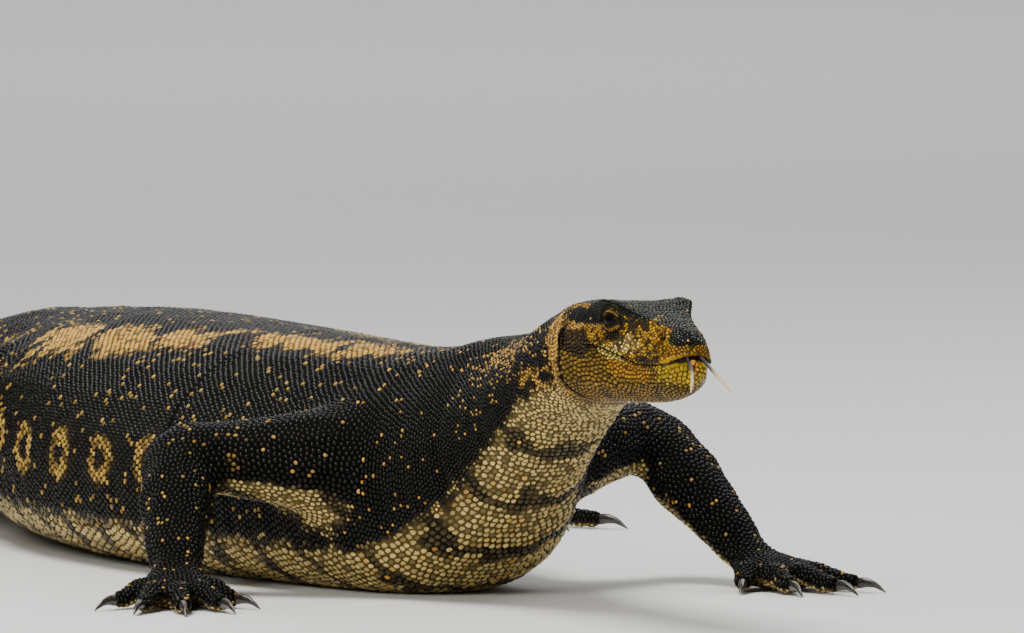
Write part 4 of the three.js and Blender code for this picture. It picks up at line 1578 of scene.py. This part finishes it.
def makeEye(side, name):
    turn = math.radians(eyeSettings["turn"])
    centre = eyeCentre(side)
    forward = headingAt(eyeSettings["back"])
    sideways = np.array([-forward[1], forward[0], 0]) * side
    gaze = sideways * math.cos(turn) + np.array([forward[0], forward[1], 0]) * math.sin(turn)
    ball = bmesh.new()
    around, down = eyeSegments
    radius = eyeSettings["radius"] * mm
    bmesh.ops.create_uvsphere(ball, u_segments=around, v_segments=down, radius=radius)
    turned = Vector(gaze).to_track_quat("Z", "Y").to_matrix()
    bmesh.ops.rotate(ball, verts=ball.verts, cent=(0, 0, 0), matrix=turned)
    bmesh.ops.translate(ball, verts=ball.verts, vec=Vector(centre))
    mesh = meshFrom(ball, name)
    shadeSmooth(mesh)
    out = unit(coordinatesOf(mesh) - centre)
    giveAttribute(mesh, "gaze", np.degrees(np.arccos(np.clip(out @ gaze, -1, 1))))
    eye = blankObject(name, mesh)
    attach(eye, "root")
    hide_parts(name)
    return eye


def eyeFinish():
    material, tree = newMaterial("wet eye")
    stops = [(degrees / 90, tone) for degrees, tone in eyeStops]
    spread = ranged(tree, attributeOf(tree, "gaze"), 0.0, 1.0, 0.0, 90.0)
    addShader(tree, {
        "Base Color": stained(tree, spread, stops, noiseOver(tree, 2600.0, 2.0), (0.6, 1.4)),
        "Roughness": 0.06,
        "Specular IOR Level": 0.06,
        "Coat Weight": 0.05,
        "Coat Roughness": 0.02,
    })
    return material


eyeMaterial = eyeFinish()
for side, name in ((-1, "eye_right"), (1, "eye_left")):
    makeEye(side, name).data.materials.append(eyeMaterial)

# Tongue: forked, dark in the mouth and pale at its tips

tongueSettings = {"voxel": 0.22, "thin": 0.16, "thick": 0.06, "smoothing": 3}
tongueStops = [
    (0.1, (0.010, 0.009, 0.005, 1)),
    (0.55, (0.075, 0.058, 0.032, 1)),
    (1.0, (0.66, 0.49, 0.25, 1)),
]


def tongueFinish():
    material, tree = newMaterial("wet tongue")
    grain = noiseOver(tree, 1800.0, 3.0)
    addShader(tree, {
        "Base Color": stained(tree, attributeOf(tree, "reach"), tongueStops, grain, (0.75, 1.25)),
        "Normal": bumpOf(tree, grain, 0.3, 0.0001),
        "Roughness": 0.4,
        "Specular IOR Level": 0.25,
        "Coat Weight": 0.08,
        "Coat Roughness": 0.1,
    })
    return material


def makeTongue(settings):
    mesh = swollenCopy(["tongue"], 0)
    mesh = withModifier(mesh, "REMESH", mode="VOXEL", voxel_size=settings["voxel"] * mm)
    evened(mesh, settings["smoothing"])
    points = coordinatesOf(mesh)
    back, out, up = headPlaceOf(points)
    reach = rising(np.linalg.norm(np.stack([back - 3, out, up + 2.5]), axis=0), 4, 22)
    swell = -settings["thin"] + (settings["thin"] + settings["thick"]) * reach
    setCoordinates(mesh, points + normalsOf(mesh) * swell[:, None] * mm)
    mesh.name = "tongue_skin"
    onlyMaterial(mesh, tongueFinish())
    shadeSmooth(mesh)
    giveAttribute(mesh, "reach", reach)
    tongue = blankObject("tongue_wet", mesh)
    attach(tongue, "root")
    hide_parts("tongue")


makeTongue(tongueSettings)

# Claws: curved horn, streaked along their length

clawSettings = {"swell": 0.05, "levels": 2}
clawStops = [(0.35, (0.006, 0.005, 0.004, 1)), (0.75, (0.060, 0.045, 0.030, 1))]


def clawFinish():
    material, tree = newMaterial("dark horn")
    streaks = noiseOver(tree, 700.0, 4.0)
    addShader(tree, {
        "Base Color": stained(tree, streaks, clawStops),
        "Normal": bumpOf(tree, streaks, 0.2, 0.0002),
        "Roughness": ranged(tree, streaks, 0.18, 0.45),
        "Coat Weight": 0.3,
        "Coat Roughness": 0.15,
    })
    return material


def makeClaw(node, material):
    levels = clawSettings["levels"]
    mesh = swollenCopy([node], clawSettings["swell"])
    mesh = withModifier(mesh, "SUBSURF", levels=levels, render_levels=levels)
    onlyMaterial(mesh, material)
    shadeSmooth(mesh)
    claw = blankObject(node.replace("_claw_", "_horn_"), mesh)
    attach(claw, "root")
    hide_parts(node)


clawMaterial = clawFinish()
clawNodes = [name for name in sorted(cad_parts) if "claw" in name]
for node in clawNodes:
    makeClaw(node, clawMaterial)
print("eyes, tongue and", len(clawNodes), "claws made")

# Floor and light

floorSettings = {"size": 14, "colour": (0.8, 0.79, 0.76), "roughness": 0.6}


def makeFloor(settings):
    sheet = bmesh.new()
    bmesh.ops.create_grid(sheet, x_segments=4, y_segments=4, size=settings["size"] / 2)
    floor = blankObject("floor", meshFrom(sheet, "floor"))
    material, tree = newMaterial("pale floor")
    addShader(tree, {"Base Color": (*settings["colour"], 1), "Roughness": settings["roughness"]})
    floor.data.materials.append(material)


makeFloor(floorSettings)

lights = {
    "over": {"place": (0.2, -0.6, 2.2), "aim": (0.2, 0, 0.1), "size": 1.0, "power": 62},
    "front": {"place": (1.9, -1.6, 1.1), "aim": (0.4, 0, 0.1), "size": 0.8, "power": 36},
    "behind": {"place": (-0.7, 1.8, 1.4), "aim": (0.2, 0, 0.1), "size": 1.0, "power": 14},
    "beyond": {"place": (-5.0, 2.0, 3.4), "aim": (-5.0, 2.0, 0), "size": 5, "power": 150},
}


skySettings = {"colour": (0.9, 0.93, 1, 1), "strength": 0.2}


def makeLights():
    for name, facts in lights.items():
        data = bpy.data.lights.new(name, "AREA")
        data.size = facts["size"]
        data.energy = facts["power"]
        light = bpy.data.objects.new(name, data)
        light.location = facts["place"]
        aim = Vector(facts["aim"]) - light.location
        light.rotation_euler = aim.to_track_quat("-Z", "Y").to_euler()
        bpy.context.scene.collection.objects.link(light)
    world = bpy.data.worlds.new("studio")
    world.use_nodes = True
    background = world.node_tree.nodes["Background"]
    background.inputs["Color"].default_value = skySettings["colour"]
    background.inputs["Strength"].default_value = skySettings["strength"]
    bpy.context.scene.world = world


makeLights()
